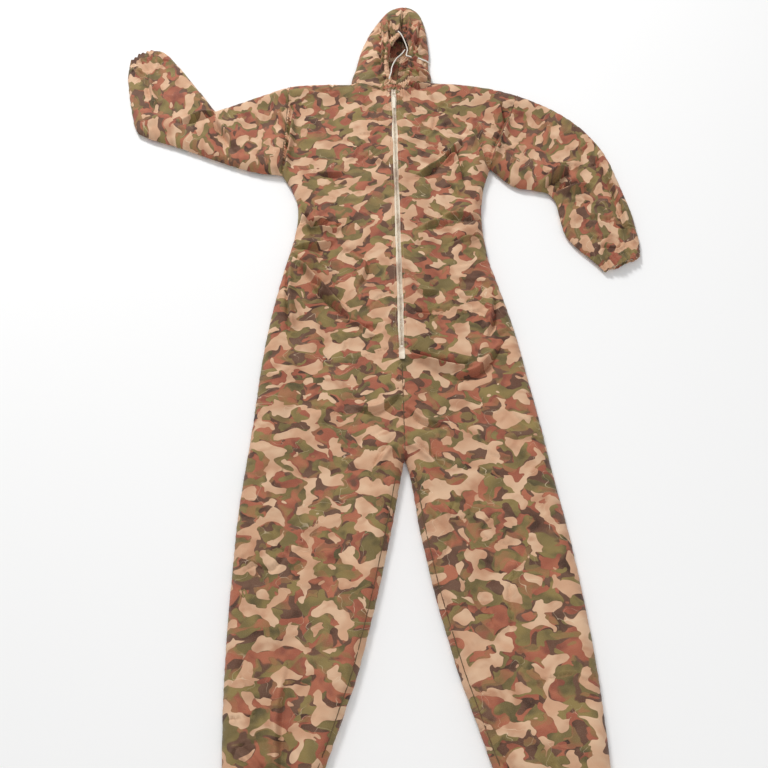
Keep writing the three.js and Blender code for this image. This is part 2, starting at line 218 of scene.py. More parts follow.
# a socket that can be added, taken away and multiplied like a number
class Wire:
    def __init__(self, shade, socket):
        self.shade = shade
        self.socket = socket

    def math(self, operation, *others, flip=False):
        values = [self, *others]
        if flip:
            values.reverse()
        return self.shade.math(operation, *values)

    def __add__(self, other):
        return self.math("ADD", other)

    __radd__ = __add__

    def __sub__(self, other):
        return self.math("SUBTRACT", other)

    def __rsub__(self, other):
        return self.math("SUBTRACT", other, flip=True)

    def __mul__(self, other):
        return self.math("MULTIPLY", other)

    __rmul__ = __mul__


# one material: its nodes are made by node(), and its finish is set on the shader
class Shade:
    def __init__(self, name, **finish):
        self.material = bpy.data.materials.new(name)
        self.material.use_nodes = True
        self.tree = self.material.node_tree
        self.tree.nodes.clear()
        output = self.tree.nodes.new("ShaderNodeOutputMaterial")
        self.surface = self.tree.nodes.new("ShaderNodeBsdfPrincipled")
        self.tree.links.new(self.surface.outputs[0], output.inputs["Surface"])
        for socket, value in finish.items():
            self.feed(self.surface, socket.replace("_", " "), value)

    def feed(self, node, socket, value):
        target = node.inputs[socket]
        if isinstance(value, Wire):
            self.tree.links.new(value.socket, target)
        elif isinstance(value, tuple) and len(value) == 3 and target.type == "RGBA":
            target.default_value = (*value, 1.0)
        else:
            target.default_value = value

    def node(self, kind, settings=None, values=None, output=0):
        made = self.tree.nodes.new("ShaderNode" + kind)
        for name, value in (settings or {}).items():
            setattr(made, name, value)
        for socket, value in (values or {}).items():
            self.feed(made, socket, value)
        return Wire(self, made.outputs[output])

    def math(self, operation, *values):
        return self.node("Math", {"operation": operation}, dict(enumerate(values)))

    def mix(self, factor, first, second):
        return self.node("Mix", {"data_type": "RGBA"}, {0: factor, 6: first, 7: second}, 2)

    def step(self, value, low, high):
        return self.node("MapRange", {"interpolation_type": "SMOOTHSTEP"},
                         {"Value": value, "From Min": low, "From Max": high})

    def noise(self, vector, scale, detail=2.0, roughness=0.5, distortion=0.0):
        return self.node("TexNoise", {"noise_dimensions": "3D"},
                         {"Vector": vector, "Scale": scale, "Detail": detail, "Roughness": roughness,
                          "Distortion": distortion})

    def scaled(self, vector, scale, shift=(0.0, 0.0, 0.0)):
        return self.node("Mapping", {"vector_type": "POINT"},
                         {"Vector": vector, "Scale": scale, "Location": shift})

    def colour(self, value):
        self.feed(self.surface, "Base Color", value)

    def bump(self, height, strength, distance):
        normal = self.node("Bump", None, {"Height": height, "Strength": strength, "Distance": distance})
        self.feed(self.surface, "Normal", normal)


# a linear colour from six hex digits
def linear(hexColour):
    parts = [int(hexColour[i:i + 2], 16) / 255 for i in (0, 2, 4)]
    return tuple(p / 12.92 if p <= 0.04045 else ((p + 0.055) / 1.055) ** 2.4 for p in parts)


printSet = {
    "sand": "cfa281", "sandPale": "ddb897", "sandWarm": "bd8b6c",
    "rust": "9f5a44", "rustBright": "b06a4f", "rustDeep": "84493a",
    "olive": "786840", "oliveYellow": "8f7b4a", "oliveDeep": "574d31",
    "brown": "644334", "brownMauve": "705140", "brownDeep": "452d22",
    "across": 42.0, "along": 53.0,   # how many motifs a metre of cloth holds each way
    "rustShare": 0.48, "oliveShare": 0.525, "veilShare": 0.60, "sandShare": 0.572,
}


def printedCloth(name):
    shade = Shade(name, Roughness=0.8, Specular_IOR_Level=0.22, Sheen_Weight=0.08, Sheen_Roughness=0.5)
    cloth = shade.node("UVMap", {"uv_map": "cloth"})
    base = shade.scaled(cloth, (printSet["across"], printSet["along"], 1.0))

    def push(vector, scale, amount, shift):
        shifted = shade.scaled(vector, (1, 1, 1), shift)
        swirl = shade.node("TexNoise", {"noise_dimensions": "3D"},
                           {"Vector": shifted, "Scale": scale, "Detail": 0.0}, 1)
        swirl = shade.node("VectorMath", {"operation": "SUBTRACT"}, {0: swirl, 1: (0.5, 0.5, 0.5)})
        swirl = shade.node("VectorMath", {"operation": "SCALE"}, {0: swirl, "Scale": amount})
        return shade.node("VectorMath", {"operation": "ADD"}, {0: vector, 1: swirl})

    bent = push(push(base, 0.55, 1.7, (4.0, 9.0, 0)), 1.5, 0.62, (1.0, 3.0, 0))

    def field(shift, scale):
        return shade.noise(shade.scaled(bent, (1, 1, 1), shift), scale, 0.0, 0.4, 0.0)

    def wash(shift, scale, low=0.38, high=0.64):
        spread = shade.noise(shade.scaled(cloth, (scale * 0.8, scale, 1), shift), 1.0, 2.0, 0.5, 0.3)
        return shade.step(spread, low, high)

    def ink(first, second, third, shift):
        colour = shade.mix(wash(shift, 17), linear(printSet[first]), linear(printSet[second]))
        return shade.mix(wash((shift[1], shift[0] + 5.0, 0), 24, 0.48, 0.72), colour, linear(printSet[third]))

    softness = wash((8.0, 3.0, 0), 9, 0.52, 0.66)
    colour = ink("brown", "brownMauve", "brownDeep", (1.0, 2.0, 0))
    layers = (("rust", ("rust", "rustBright", "rustDeep"), (3.1, 7.7, 0.0), 0.62),
              ("olive", ("olive", "oliveYellow", "oliveDeep"), (11.3, 2.9, 0.0), 0.66),
              ("veil", ("oliveYellow", "rustBright", "olive"), (23.7, 1.9, 0.0), 0.75),
              ("sand", ("sand", "sandPale", "sandWarm"), (17.9, 6.1, 0.0), 0.60))
    outline = None
    for key, inks, shift, scale in layers:
        value = field(shift, scale)
        level = printSet[key + "Share"]
        edge = 0.004 if key == "sand" else 0.004 + softness * 0.045
        mask = shade.step(value, level - edge, level + edge)
        rising = shade.step(value, level - 0.014, level - 0.004)
        line = rising * (1 - shade.step(value, level - 0.004, level + 0.004))
        outline = line if outline is None else outline * (1 - mask) + line
        cover = mask * 0.62 if key == "veil" else mask
        colour = shade.mix(cover, colour, ink(*inks, (shift[1], shift[0], 0)))
    rim = field((29.3, 8.3, 0.0), 0.55)
    broken = wash((2.0, 6.0, 0), 30, 0.46, 0.6)
    colour = shade.mix(outline * broken * 0.5, colour, linear("4f3527"))
    ring = shade.step(rim, 0.490, 0.495) * (1 - shade.step(rim, 0.499, 0.504))
    pale = ring * wash((5.0, 1.0, 0), 14, 0.5, 0.6)
    colour = shade.mix(pale * 0.55, colour, linear("e6cfae"))
    speck = shade.noise(shade.scaled(cloth, (700, 700, 1)), 1.0, 2.0, 0.7)
    colour = shade.mix(shade.step(speck, 0.45, 0.75) * 0.10, colour, linear("efe0cc"))
    shade.colour(colour)
    fibre = shade.noise(shade.scaled(cloth, (1100, 900, 1)), 1.0, 2.0, 0.7)
    crinkle = shade.noise(shade.scaled(cloth, (95, 80, 1)), 1.0, 4.0, 0.6, 0.4)
    shade.bump(fibre * 0.2 + crinkle, 0.4, 0.0016)
    return shade.material


printedMaterial = printedCloth("printedCloth")
print("cloth material made")

# Each run is a smooth line; runs meet at corners. Millimetres from the crotch, the wearer's right first.
runs = {
    "shoulderRight": [(-117, 1094), (-200, 1097), (-281, 1092), (-350, 1067), (-420, 1037), (-483, 1010)],
    "forearmInRight": [(-483, 1010), (-522, 1070), (-566, 1134), (-604, 1188), (-634, 1224), (-652, 1238),
                       (-672, 1241)],
    "wristRight": [(-672, 1241), (-686, 1233), (-696, 1222), (-708, 1219), (-718, 1206), (-730, 1201),
                   (-737, 1190)],
    "forearmOutRight": [(-737, 1190), (-737, 1140), (-727, 1075), (-712, 1010), (-699, 960), (-686, 934)],
    "underarmRight": [(-686, 934), (-640, 910), (-581, 888), (-500, 852), (-420, 817), (-378, 801),
                      (-330, 790), (-295, 787)],
    "sideRight": [(-295, 787), (-272, 742), (-256, 700), (-251, 662), (-254, 620), (-264, 565), (-277, 512),
                  (-292, 448), (-312, 340), (-327, 220), (-340, 70), (-352, -40), (-361, -145), (-366, -295),
                  (-368, -432), (-364, -560), (-358, -650), (-352, -731)],
    "ankleRight": [(-352, -731), (-322, -737), (-300, -736), (-276, -743), (-250, -742), (-226, -749),
                   (-201, -751)],
    "inseamRight": [(-201, -751), (-196, -705), (-180, -640), (-148, -560), (-122, -490), (-101, -432),
                    (-64, -295), (-45, -215), (-29, -145), (-12, -60), (0, -2)],
    "inseamLeft": [(0, -2), (12, -60), (23, -145), (37, -220), (52, -295), (87, -432), (107, -495),
                   (128, -560), (155, -640), (176, -700), (183, -753)],
    "ankleLeft": [(183, -753), (208, -748), (232, -749), (262, -741), (290, -742), (325, -734), (359, -730)],
    "sideLeft": [(359, -730), (363, -690), (367, -620), (368, -560), (365, -432), (355, -295), (347, -215),
                 (338, -145), (322, -40), (308, 70), (289, 190), (270, 315), (240, 448), (223, 518),
                 (216, 580), (214, 630), (217, 680), (227, 738), (247, 798)],
    "underarmLeft": [(247, 798), (275, 763), (306, 737), (338, 729), (372, 722)],
    "forearmInLeft": [(372, 722), (393, 712), (404, 692), (408, 655), (412, 615), (419, 581), (441, 548),
                      (471, 517), (490, 494), (504, 475)],
    "wristLeft": [(504, 475), (519, 487), (537, 490), (553, 500), (570, 508), (584, 511), (598, 522)],
    "forearmOutLeft": [(598, 522), (602, 560), (600, 600), (596, 652), (581, 729), (564, 808), (549, 853),
                       (530, 890), (498, 937), (459, 977), (420, 1006), (380, 1029), (342, 1048)],
    "shoulderLeft": [(342, 1048), (290, 1067), (230, 1082), (170, 1092), (105, 1096)],
    "hood": [(105, 1096), (108, 1122), (103, 1148), (102, 1175), (105, 1208), (103, 1250), (101, 1290),
             (95, 1330), (85, 1363), (66, 1386), (40, 1395), (12, 1390), (-15, 1371), (-40, 1334),
             (-62, 1293), (-78, 1252), (-88, 1222), (-96, 1188), (-103, 1155), (-112, 1125), (-117, 1094)],
}
openRuns = ("wristRight", "ankleRight", "ankleLeft", "wristLeft")
seams = {
    "neck": [(-117, 1094), (-92, 1081), (-50, 1062), (0, 1046), (50, 1066), (105, 1096)],
    "armholeRight": [(-281, 1092), (-288, 1000), (-293, 900), (-295, 787)],
    "armholeLeft": [(342, 1048), (312, 970), (275, 880), (247, 798)],
    "crotchSeam": [(0, -2), (0, 60), (0, 160), (0, 262)],
    "crown": [(29, 1259), (34, 1330), (40, 1395)],
    "chin": [(0, 1046), (4, 1064), (7, 1081)],
    "zipRight": [(0, 262), (-6, 270), (-6, 600), (-6, 1049)],
    "zipLeft": [(0, 262), (6, 270), (6, 600), (6, 1049)],
    "centreBack": [(0, 262), (0, 600), (0, 1046)],
    "hoodBack": [(7, 1081), (18, 1170), (29, 1259)],
}
face = {"centre": (18, 1170), "half": (29, 90), "lean": -7}
spacing = 10.5                 # the cloth's mesh
fineSpacing = 5.6              # near the cuffs and ankles and all over the hood
fineReach = 62                 # how far in from a hem the mesh is fine
fineRuns = ("wristRight", "ankleRight", "ankleLeft", "wristLeft", "hood")
fineSeams = ("neck", "crown", "chin", "hoodBack")


def smoothLine(points, step):
    return evenLine(points, step, 24, 1)[0]


def ellipsePoints(grow, count):
    turn = math.radians(face["lean"])
    angle = np.linspace(0, 2 * math.pi, count, endpoint=False)
    x = (face["half"][0] + grow) * np.cos(angle)
    y = (face["half"][1] + grow) * np.sin(angle)
    return np.stack([face["centre"][0] + x * math.cos(turn) - y * math.sin(turn),
                     face["centre"][1] + x * math.sin(turn) + y * math.cos(turn)], axis=1)


# which points lie inside a polygon
def inside(points, polygon):
    x, y = points[:, 0][:, None], points[:, 1][:, None]
    a, b = polygon, np.roll(polygon, -1, axis=0)
    crosses = (a[:, 1] > y) != (b[:, 1] > y)
    rise = np.where(a[:, 1] == b[:, 1], 1e-9, b[:, 1] - a[:, 1])
    hits = x < (b[:, 0] - a[:, 0]) * (y - a[:, 1]) / rise + a[:, 0]
    return np.count_nonzero(crosses & hits, axis=1) % 2 == 1


# each point's distance to the nearest of the segments, measured on the few whose middles are closest
def distanceTo(points, segments):
    tree = KDTree(len(segments))
    for index, middle in enumerate(segments.mean(axis=1)):
        tree.insert((middle[0], middle[1], 0), index)
    tree.balance()
    nearest = np.array([[found[1] for found in tree.find_n((x, y, 0), 3)] for x, y in points])
    a, d = segments[nearest, 0], segments[nearest, 1] - segments[nearest, 0]
    p = points[:, None, :]
    t = np.clip(((p - a) * d).sum(2) / (d ** 2).sum(2), 0, 1)
    return np.linalg.norm(p - (a + t[:, :, None] * d), axis=2).min(1)


def asSegments(line):
    return np.stack([line[:-1], line[1:]], axis=1)


def lineStep(name):
    return 0.9 * (fineSpacing if name in fineRuns + fineSeams else spacing)


outlineRuns = {name: smoothLine(points, lineStep(name)) for name, points in runs.items()}
outline = np.vstack([line[:-1] for line in outlineRuns.values()])
foldSegments = np.vstack([asSegments(line) for name, line in outlineRuns.items() if name not in openRuns])
seamLines = {name: smoothLine(points, lineStep(name)) for name, points in seams.items()}
faceLine = ellipsePoints(0, 76)
hoodEdge = np.vstack([outlineRuns["hood"], seamLines["neck"][1:-1]])
hemSegments = np.vstack([asSegments(outlineRuns[name]) for name in openRuns])
faceSegments = asSegments(np.vstack([faceLine, faceLine[:1]]))


def hexGrid(step):
    low, high = outline.min(0), outline.max(0)
    rows = []
    for row, y in enumerate(np.arange(low[1], high[1], step * math.sqrt(3) / 2)):
        xs = np.arange(low[0] + (row % 2) * step / 2, high[0], step)
        rows.append(np.stack([xs, np.full(len(xs), y)], axis=1))
    points = np.vstack(rows)
    return points[inside(points, outline)]


# creases the cloth keeps: the points along each, then its height, half width and which side is sunk
creases = [
    ([(-51, 821), (-25, 788), (-9, 764)], 5, 8, 1),
    ([(-268, 1010), (-273, 930), (-276, 868), (-286, 770)], 8, 8, -1),
    ([(-200, 786), (-168, 778), (-136, 780)], 4, 7, -1),
    ([(-262, 692), (-240, 650), (-218, 592)], 6, 9, 1),
    ([(-250, 640), (-214, 630), (-170, 640)], 4, 8, -1),
    ([(59, 770), (98, 797), (153, 857), (172, 884)], 9, 8, -1),
    ([(98, 783), (147, 828), (168, 779)], 9, 8, 1),
    ([(192, 930), (208, 894), (224, 827), (239, 778)], 6, 9, 1),
    ([(225, 951), (230, 915), (233, 882)], 4, 7, -1),
    ([(283, 1008), (288, 978), (293, 949)], 5, 7, 1),
    ([(318, 984), (292, 915), (268, 850), (250, 800)], 6, 9, -1),
    ([(155, 797), (160, 786), (170, 752)], 6, 8, 1),
    ([(151, 742), (153, 724), (157, 700)], 4, 7, -1),
    ([(238, 762), (226, 735), (204, 696)], 5, 8, 1),
    ([(-262, 525), (-224, 484), (-190, 444), (-156, 405), (-132, 378)], 10, 8, 1),
    ([(-205, 440), (-165, 404), (-128, 366)], 5, 7, -1),
    ([(-140, 352), (-104, 336), (-60, 298)], 5, 8, 1),
    ([(-262, 525), (-263, 436), (-254, 315)], 6, 8, -1),
    ([(-110, 530), (-82, 499), (-100, 443)], 4, 8, 1),
    ([(-258, 560), (-205, 556), (-160, 575)], 5, 9, -1),
    ([(-255, 610), (-200, 606), (-130, 612)], 4, 9, 1),
    ([(8, 250), (54, 234), (94, 223), (134, 220), (163, 229)], 8, 8, 1),
    ([(113, 197), (170, 214), (201, 245), (228, 277)], 6, 9, -1),
    ([(29, 352), (56, 352), (83, 357)], 4, 7, 1),
    ([(40, 424), (62, 416), (90, 422)], 4, 7, -1),
    ([(219, 400), (212, 350), (201, 305)], 6, 9, 1),
    ([(213, 560), (175, 566), (130, 552)], 5, 9, -1),
    ([(214, 640), (170, 634), (120, 646)], 5, 9, 1),
    ([(60, 600), (90, 618), (128, 622)], 4, 8, -1),
    ([(-473, 966), (-446, 917), (-420, 868)], 7, 10, -1),
    ([(-478, 1000), (-520, 982), (-574, 966)], 5, 10, 1),
    ([(-640, 1010), (-660, 1080), (-676, 1150)], 4, 10, 1),
    ([(372, 735), (408, 765), (446, 795)], 11, 10, -1),
    ([(400, 706), (440, 716), (500, 742)], 8, 10, 1),
    ([(511, 853), (549, 754), (572, 656), (580, 560)], 5, 8, -1),
    ([(-345, -560), (-300, -600), (-255, -690)], 4, 10, 1),
    ([(-150, -590), (-176, -640), (-214, -700)], 5, 9, -1),
    ([(-250, -420), (-262, -520), (-258, -640)], 4, 11, 1),
    ([(150, -600), (186, -650), (214, -712)], 5, 9, 1),
    ([(262, -600), (258, -660), (270, -716)], 5, 9, -1),
    ([(10, 120), (44, 90), (90, 84)], 4, 9, -1),
    ([(-10, 150), (-60, 120), (-110, 128)], 4, 9, 1),
    ([(-14, 40), (-48, 0), (-70, -60)], 4, 10, -1),
    ([(14, 30), (50, 0), (84, -40)], 4, 10, 1),
    ([(-10, 1326), (-13, 1200), (-16, 1090)], 5, 4.5, 1),
    ([(-24, 1330), (-27, 1210), (-30, 1110)], 4, 4.5, -1),
    ([(0, 1330), (-3, 1262)], 4, 4, -1),
    ([(29, 1360), (24, 1310), (20, 1266)], 5, 5, 1),
    ([(51, 1350), (50, 1290), (44, 1240)], 5, 5, -1),
    ([(82, 1330), (68, 1262), (54, 1200)], 5, 5, 1),
    ([(92, 1270), (76, 1210), (60, 1166)], 4, 5, -1),
    ([(30, 1092), (62, 1088), (98, 1098)], 5, 5, 1),
    ([(34, 1076), (66, 1066), (100, 1078)], 4, 5, -1),
    ([(50, 1130), (74, 1116), (100, 1126)], 4, 5, 1),
]
creaseReach = 15


def wantsFine(points):
    creaseSegments = np.vstack([asSegments(smoothLine(line[0], 6)) for line in creases])
    creased = distanceTo(points, creaseSegments) < creaseReach
    nearHem = distanceTo(points, hemSegments) < fineReach
    nearFace = distanceTo(points, faceSegments) < fineReach
    return inside(points, hoodEdge) | creased | nearHem | nearFace


# triangles over the whole outline, with edges along every seam
def flatPattern():
    lines = list(seamLines.values()) + [np.vstack([faceLine, faceLine[:1]])]
    fixed = np.vstack([foldSegments, hemSegments] + [asSegments(line) for line in lines])
    coarse = hexGrid(spacing)
    fine = hexGrid(fineSpacing)
    coarse = coarse[~wantsFine(coarse)]
    fine = fine[wantsFine(fine)]
    coarse = coarse[distanceTo(coarse, fixed) > spacing * 0.55]
    fine = fine[distanceTo(fine, fixed) > fineSpacing * 0.55]
    points = [outline]
    edges = [(i, (i + 1) % len(outline)) for i in range(len(outline))]
    count = len(outline)
    for line in lines:
        points.append(line)
        edges += [(count + i, count + i + 1) for i in range(len(line) - 1)]
        count += len(line)
    points = np.vstack([*points, coarse, fine])
    made = delaunay_2d_cdt([Vector(p) for p in points], edges, [list(range(len(outline)))], 1, 0.5)
    return np.array([tuple(p) for p in made[0]]), np.array([f for f in made[2] if len(f) == 3])


flatPoints, flatFaces = flatPattern()
print("flat pattern:", len(flatPoints), "points,", len(flatFaces), "faces")


# how far the cloth stands above the floor, front and back, before it is crumpled
garmentSet = {
    "fold": 9.0,               # height of the fold along every side
    "body": 41.5, "sleeve": 31.0, "hood": 36.0,
    "hem": 20.0,               # the front near a cuff or an ankle
    "roll": 62.0,              # how far in from a side the front is level
    "lie": 1.4,                # the back above the floor
    "zip": 43.4,               # the cloth beside the zip
}


def ramp(value, low, high):
    t = np.clip((value - low) / (high - low), 0, 1)
    return t * t * (3 - 2 * t)


def runPoints(*names):
    return np.vstack([outlineRuns[name] for name in names])


def corner(line, point):
    return int(np.argmin(np.linalg.norm(line - np.array(point, float), axis=1)))


sleeveRightEdge = runPoints("shoulderRight", "forearmInRight", "wristRight", "forearmOutRight",
                            "underarmRight")
sleeveRightEdge = sleeveRightEdge[corner(sleeveRightEdge, (-281, 1092)):]
sleeveLeftEdge = runPoints("underarmLeft", "forearmInLeft", "wristLeft", "forearmOutLeft")
crownLine = np.vstack([seamLines["chin"], seamLines["hoodBack"], seamLines["crown"]])
hoodRightEdge = np.vstack([crownLine, outlineRuns["hood"][corner(outlineRuns["hood"], (40, 1395)):],
                           seamLines["neck"][:corner(seamLines["neck"], (0, 1046))]])
zipGap = np.vstack([seamLines["zipRight"], seamLines["zipLeft"][::-1]])

centres = flatPoints[flatFaces].mean(axis=1)
inSleeveRight = inside(centres, sleeveRightEdge)
inSleeveLeft = inside(centres, sleeveLeftEdge)
inHood = inside(centres, hoodEdge)
inHoodRight = inside(centres, hoodRightEdge)
inFace = inside(centres, faceLine)
inZip = inside(centres, zipGap)
pieceNames = ["bodyRight", "bodyLeft", "sleeveRight", "sleeveLeft", "hoodRight", "hoodLeft"]
faceOwner = np.where(inSleeveRight, 2, np.where(inSleeveLeft, 3, np.where(
    inHood, np.where(inHoodRight, 4, 5), np.where(centres[:, 0] < 0, 0, 1))))

edgeGap = distanceTo(flatPoints, foldSegments)
onFold = edgeGap < 0.05
hemGap = distanceTo(flatPoints, hemSegments)
neckGap = distanceTo(flatPoints, asSegments(seamLines["neck"]))
faceGap = distanceTo(flatPoints, faceSegments)
pointInHood = inside(flatPoints, hoodEdge)
pointInSleeve = inside(flatPoints, sleeveRightEdge) | inside(flatPoints, sleeveLeftEdge)


def besideZipShare(points):
    x, y = points[:, 0], points[:, 1]
    return (1 - ramp(np.abs(x), 9, 42)) * ramp(y, 226, 258) * (1 - ramp(y, 1048, 1075))


def frontHeights():
    sleeveShare = ramp(np.where(pointInSleeve, distanceTo(flatPoints, np.vstack(
        [asSegments(seamLines["armholeRight"]), asSegments(seamLines["armholeLeft"])])), 0), 0, 110)
    top = garmentSet["body"] + (garmentSet["sleeve"] - garmentSet["body"]) * sleeveShare
    top = np.where(pointInHood, garmentSet["body"] + (garmentSet["hood"] - garmentSet["body"])
                   * ramp(neckGap, 0, 60), top)
    top = garmentSet["hem"] + (top - garmentSet["hem"]) * ramp(hemGap, -20, 170)
    inward = np.clip(edgeGap / garmentSet["roll"], 0, 1)
    dome = (1 - (1 - inward) ** 2.3) ** (1 / 1.6)
    height = garmentSet["fold"] + (top - garmentSet["fold"]) * dome
    return height + (garmentSet["zip"] - height) * besideZipShare(flatPoints)


def backHeights():
    inward = np.clip(edgeGap / 34, 0, 1)
    return garmentSet["lie"] + (garmentSet["fold"] - garmentSet["lie"]) * (1 - inward) ** 2.2


count = len(flatPoints)
backIndex = np.where(onFold, np.arange(count), count + np.arange(count))
positions = np.zeros((2 * count, 3))
positions[:, :2] = np.vstack([flatPoints, flatPoints])
positions[:count, 2] = frontHeights()
positions[count:, 2] = backHeights()
frontFaces = flatFaces[~(inFace | inZip)]
frontOwner = faceOwner[~(inFace | inZip)]
faces = np.vstack([frontFaces, backIndex[flatFaces][:, ::-1]])
owner = np.concatenate([frontOwner, faceOwner])
isBack = np.arange(len(faces)) >= len(frontFaces)


# the print's own coordinates, in metres of cloth: the back is unrolled past the side fold
def clothMap():
    x, y = flatPoints[:, 0].copy(), flatPoints[:, 1]
    sides = {}
    for index, name in ((0, "sideRight"), (1, "sideLeft")):
        line = outlineRuns[name]
        order = np.argsort(line[:, 1])
        sides[index] = np.interp(y, line[order, 1], line[order, 0])
    maps = np.zeros((len(faces), 3, 2))
    source = np.vstack([frontFaces, flatFaces[:, ::-1]])
    for index in range(len(pieceNames)):
        mine = owner == index
        px, py = x[source], y[source]
        if index < 2:
            u = np.where(isBack[:, None], 2 * sides[index][source] - px, px)
            v = py
        elif index < 4:
            turn = math.radians(98 if index == 2 else 65)
            u = px * math.cos(turn) + py * math.sin(turn) + np.where(isBack[:, None], 900, 400)
            v = -px * math.sin(turn) + py * math.cos(turn) + 150 * index
        else:
            u = np.where(isBack[:, None], 60 - px + 700 * (index - 4), px)
            v = py + 330
        maps[mine] = np.stack([u, v], axis=2)[mine]
    return maps.reshape(-1, 2) * mm


clothUv = clothMap()


# a ridge with a dip along one side, fading out at its two ends
def creaseHeights(points, sharper=1.0):
    heights = np.zeros(len(points))
    for line, height, width, side in creases:
        way = smoothLine(line, 6)
        reach = width * 4
        low, high = way.min(0) - reach, way.max(0) + reach
        near = np.nonzero(np.all((points > low) & (points < high), axis=1))[0]
        if not len(near):
            continue
        p = points[near][:, None, :]
        a, d = way[:-1], np.diff(way, axis=0)
        length = (d ** 2).sum(1)
        t = np.clip(((p - a) * d).sum(2) / length, 0, 1)
        offset = p - (a + t[:, :, None] * d)
        far = np.linalg.norm(offset, axis=2)
        best = far.argmin(1)
        rows = np.arange(len(near))
        across = d[best, 0] * offset[rows, best, 1] - d[best, 1] * offset[rows, best, 0]
        signed = np.where(across < 0, -1, 1) * far[rows, best] * side
        along = (best + t[rows, best]) / len(a)
        fade = np.clip(np.sin(math.pi * np.clip(along, 0.02, 0.98)), 0, 1) ** 0.6
        w = width / sharper
        shape = np.exp(-(signed / w) ** 2) - 1.2 * np.exp(-((signed - 1.4 * w) / (0.7 * w)) ** 2)
        heights[near] += height * fade * shape
    return heights


def noiseAt(points, scale, stretch=1.0, seed=0.0):
    return np.array([noise.noise(Vector((x / scale, y * stretch / scale, seed))) for x, y in points])


# soft hollows and puffs that the simulation then turns into folds
def puffs(points):
    return 5.0 * noiseAt(points, 95, 1.6, 3.3) + 3.5 * noiseAt(points, 48, 1.3, 8.1)


level = ramp(edgeGap, 6, 45) * (1 - besideZipShare(flatPoints))
positions[:count, 2] += level * (puffs(flatPoints) + creaseHeights(flatPoints, 0.85))
used = np.unique(faces)
compact = np.full(2 * count, -1)
compact[used] = np.arange(len(used))
garment = meshObject("garment", toFrame(positions[used]), compact[faces])
print("garment laid out:", len(used), "points,", len(faces), "faces")


# the cut is wider than the garment lies wherever elastic gathers it, so the cloth has to buckle
cutSet = {
    "slack": 0.03,             # spare cloth everywhere
    "waist": 0.13, "waistAt": 622, "waistReach": 52,
    "hem": 0.30, "hemReach": 46,
    "face": 0.34, "faceReach": 42,
}
crumpleSet = {"steps": 22, "quality": 4, "mass": 0.02, "damping": 2, "stretch": 40, "shear": 8, "bend": 0.25,
              "bendDamping": 0.5, "gravity": 0.25, "lowest": 0.6, "highest": 53}


def cutPoints(points):
    x, y = points[:, 0], points[:, 1]
    cut = points.copy() * (1 + cutSet["slack"])
    cut[:, 0] += x * cutSet["waist"] * np.exp(-((y - cutSet["waistAt"]) / cutSet["waistReach"]) ** 2)
    for name in openRuns:
        line = outlineRuns[name]
        middle = (line[0] + line[-1]) / 2
        along = (line[-1] - line[0]) / np.linalg.norm(line[-1] - line[0])
        near = distanceTo(points[:, :2], asSegments(line))
        share = cutSet["hem"] * np.exp(-(near / cutSet["hemReach"]) ** 2)
        cut[:, :2] += ((points[:, :2] - middle) @ along * share)[:, None] * along
    centre = np.array(face["centre"], float)
    near = distanceTo(points[:, :2], faceSegments)
    share = cutSet["face"] * np.exp(-(near / cutSet["faceReach"]) ** 2)
    cut[:, :2] += (points[:, :2] - centre) * share[:, None]
    return cut


def holdWeights():
    front = np.full(count, 0.004)
    front = np.maximum(front, 1 - ramp(edgeGap, 0, 16))
    front = np.maximum(front, 0.30 * (1 - ramp(neckGap, 0, 12)))
    beside = np.maximum(distanceTo(flatPoints, np.vstack([asSegments(seamLines["zipRight"]),
                                                          asSegments(seamLines["zipLeft"])])), 0)
    front = np.maximum(front, 1 - ramp(beside, 3, 22))
    front = np.maximum(front, 0.5 * (1 - ramp(hemGap, 0, 8)))
    front = np.maximum(front, 0.9 * (1 - ramp(faceGap, 0, 6)))
    return np.concatenate([front, np.ones(count)])[used]


def crumple():
    held = garment.vertex_groups.new(name="held")
    weights = holdWeights()
    for level in np.unique(np.round(weights, 2)):
        picked = np.nonzero(np.round(weights, 2) == level)[0].tolist()
        held.add(picked, float(level), "REPLACE")
    garment.shape_key_add(name="Basis")
    cut = garment.shape_key_add(name="cut")
    cut.data.foreach_set("co", toFrame(cutPoints(positions[used])).ravel())
    cut.value = 0
    modifier = garment.modifiers.new("crumple", "CLOTH")
    cloth = modifier.settings
    cloth.quality = crumpleSet["quality"]
    cloth.mass = crumpleSet["mass"]
    cloth.air_damping = crumpleSet["damping"]
    cloth.tension_stiffness = cloth.compression_stiffness = crumpleSet["stretch"]
    cloth.shear_stiffness = crumpleSet["shear"]
    cloth.bending_stiffness = crumpleSet["bend"]
    cloth.bending_damping = crumpleSet["bendDamping"]
    cloth.vertex_group_mass = "held"
    cloth.pin_stiffness = 1
    cloth.rest_shape_key = cut
    modifier.collision_settings.use_collision = False
    cloth.effector_weights.gravity = crumpleSet["gravity"]
    for step in range(1, crumpleSet["steps"] + 1):
        bpy.context.scene.frame_set(step)
    graph = bpy.context.evaluated_depsgraph_get()
    result = garment.evaluated_get(graph).to_mesh()
    moved = np.zeros(len(used) * 3)
    result.vertices.foreach_get("co", moved)
    garment.modifiers.remove(modifier)
    garment.shape_key_clear()
    bpy.context.scene.frame_set(1)
    return moved.reshape(-1, 3)


crumpled = crumple()
low = np.concatenate([np.full(count, garmentSet["fold"] * 0.6), np.full(count, crumpleSet["lowest"])])
crumpled[:, 2] = np.clip(crumpled[:, 2], low[used] * mm, crumpleSet["highest"] * mm)
garment.data.vertices.foreach_set("co", crumpled.ravel())
garment.data.update()
print("cloth crumpled")

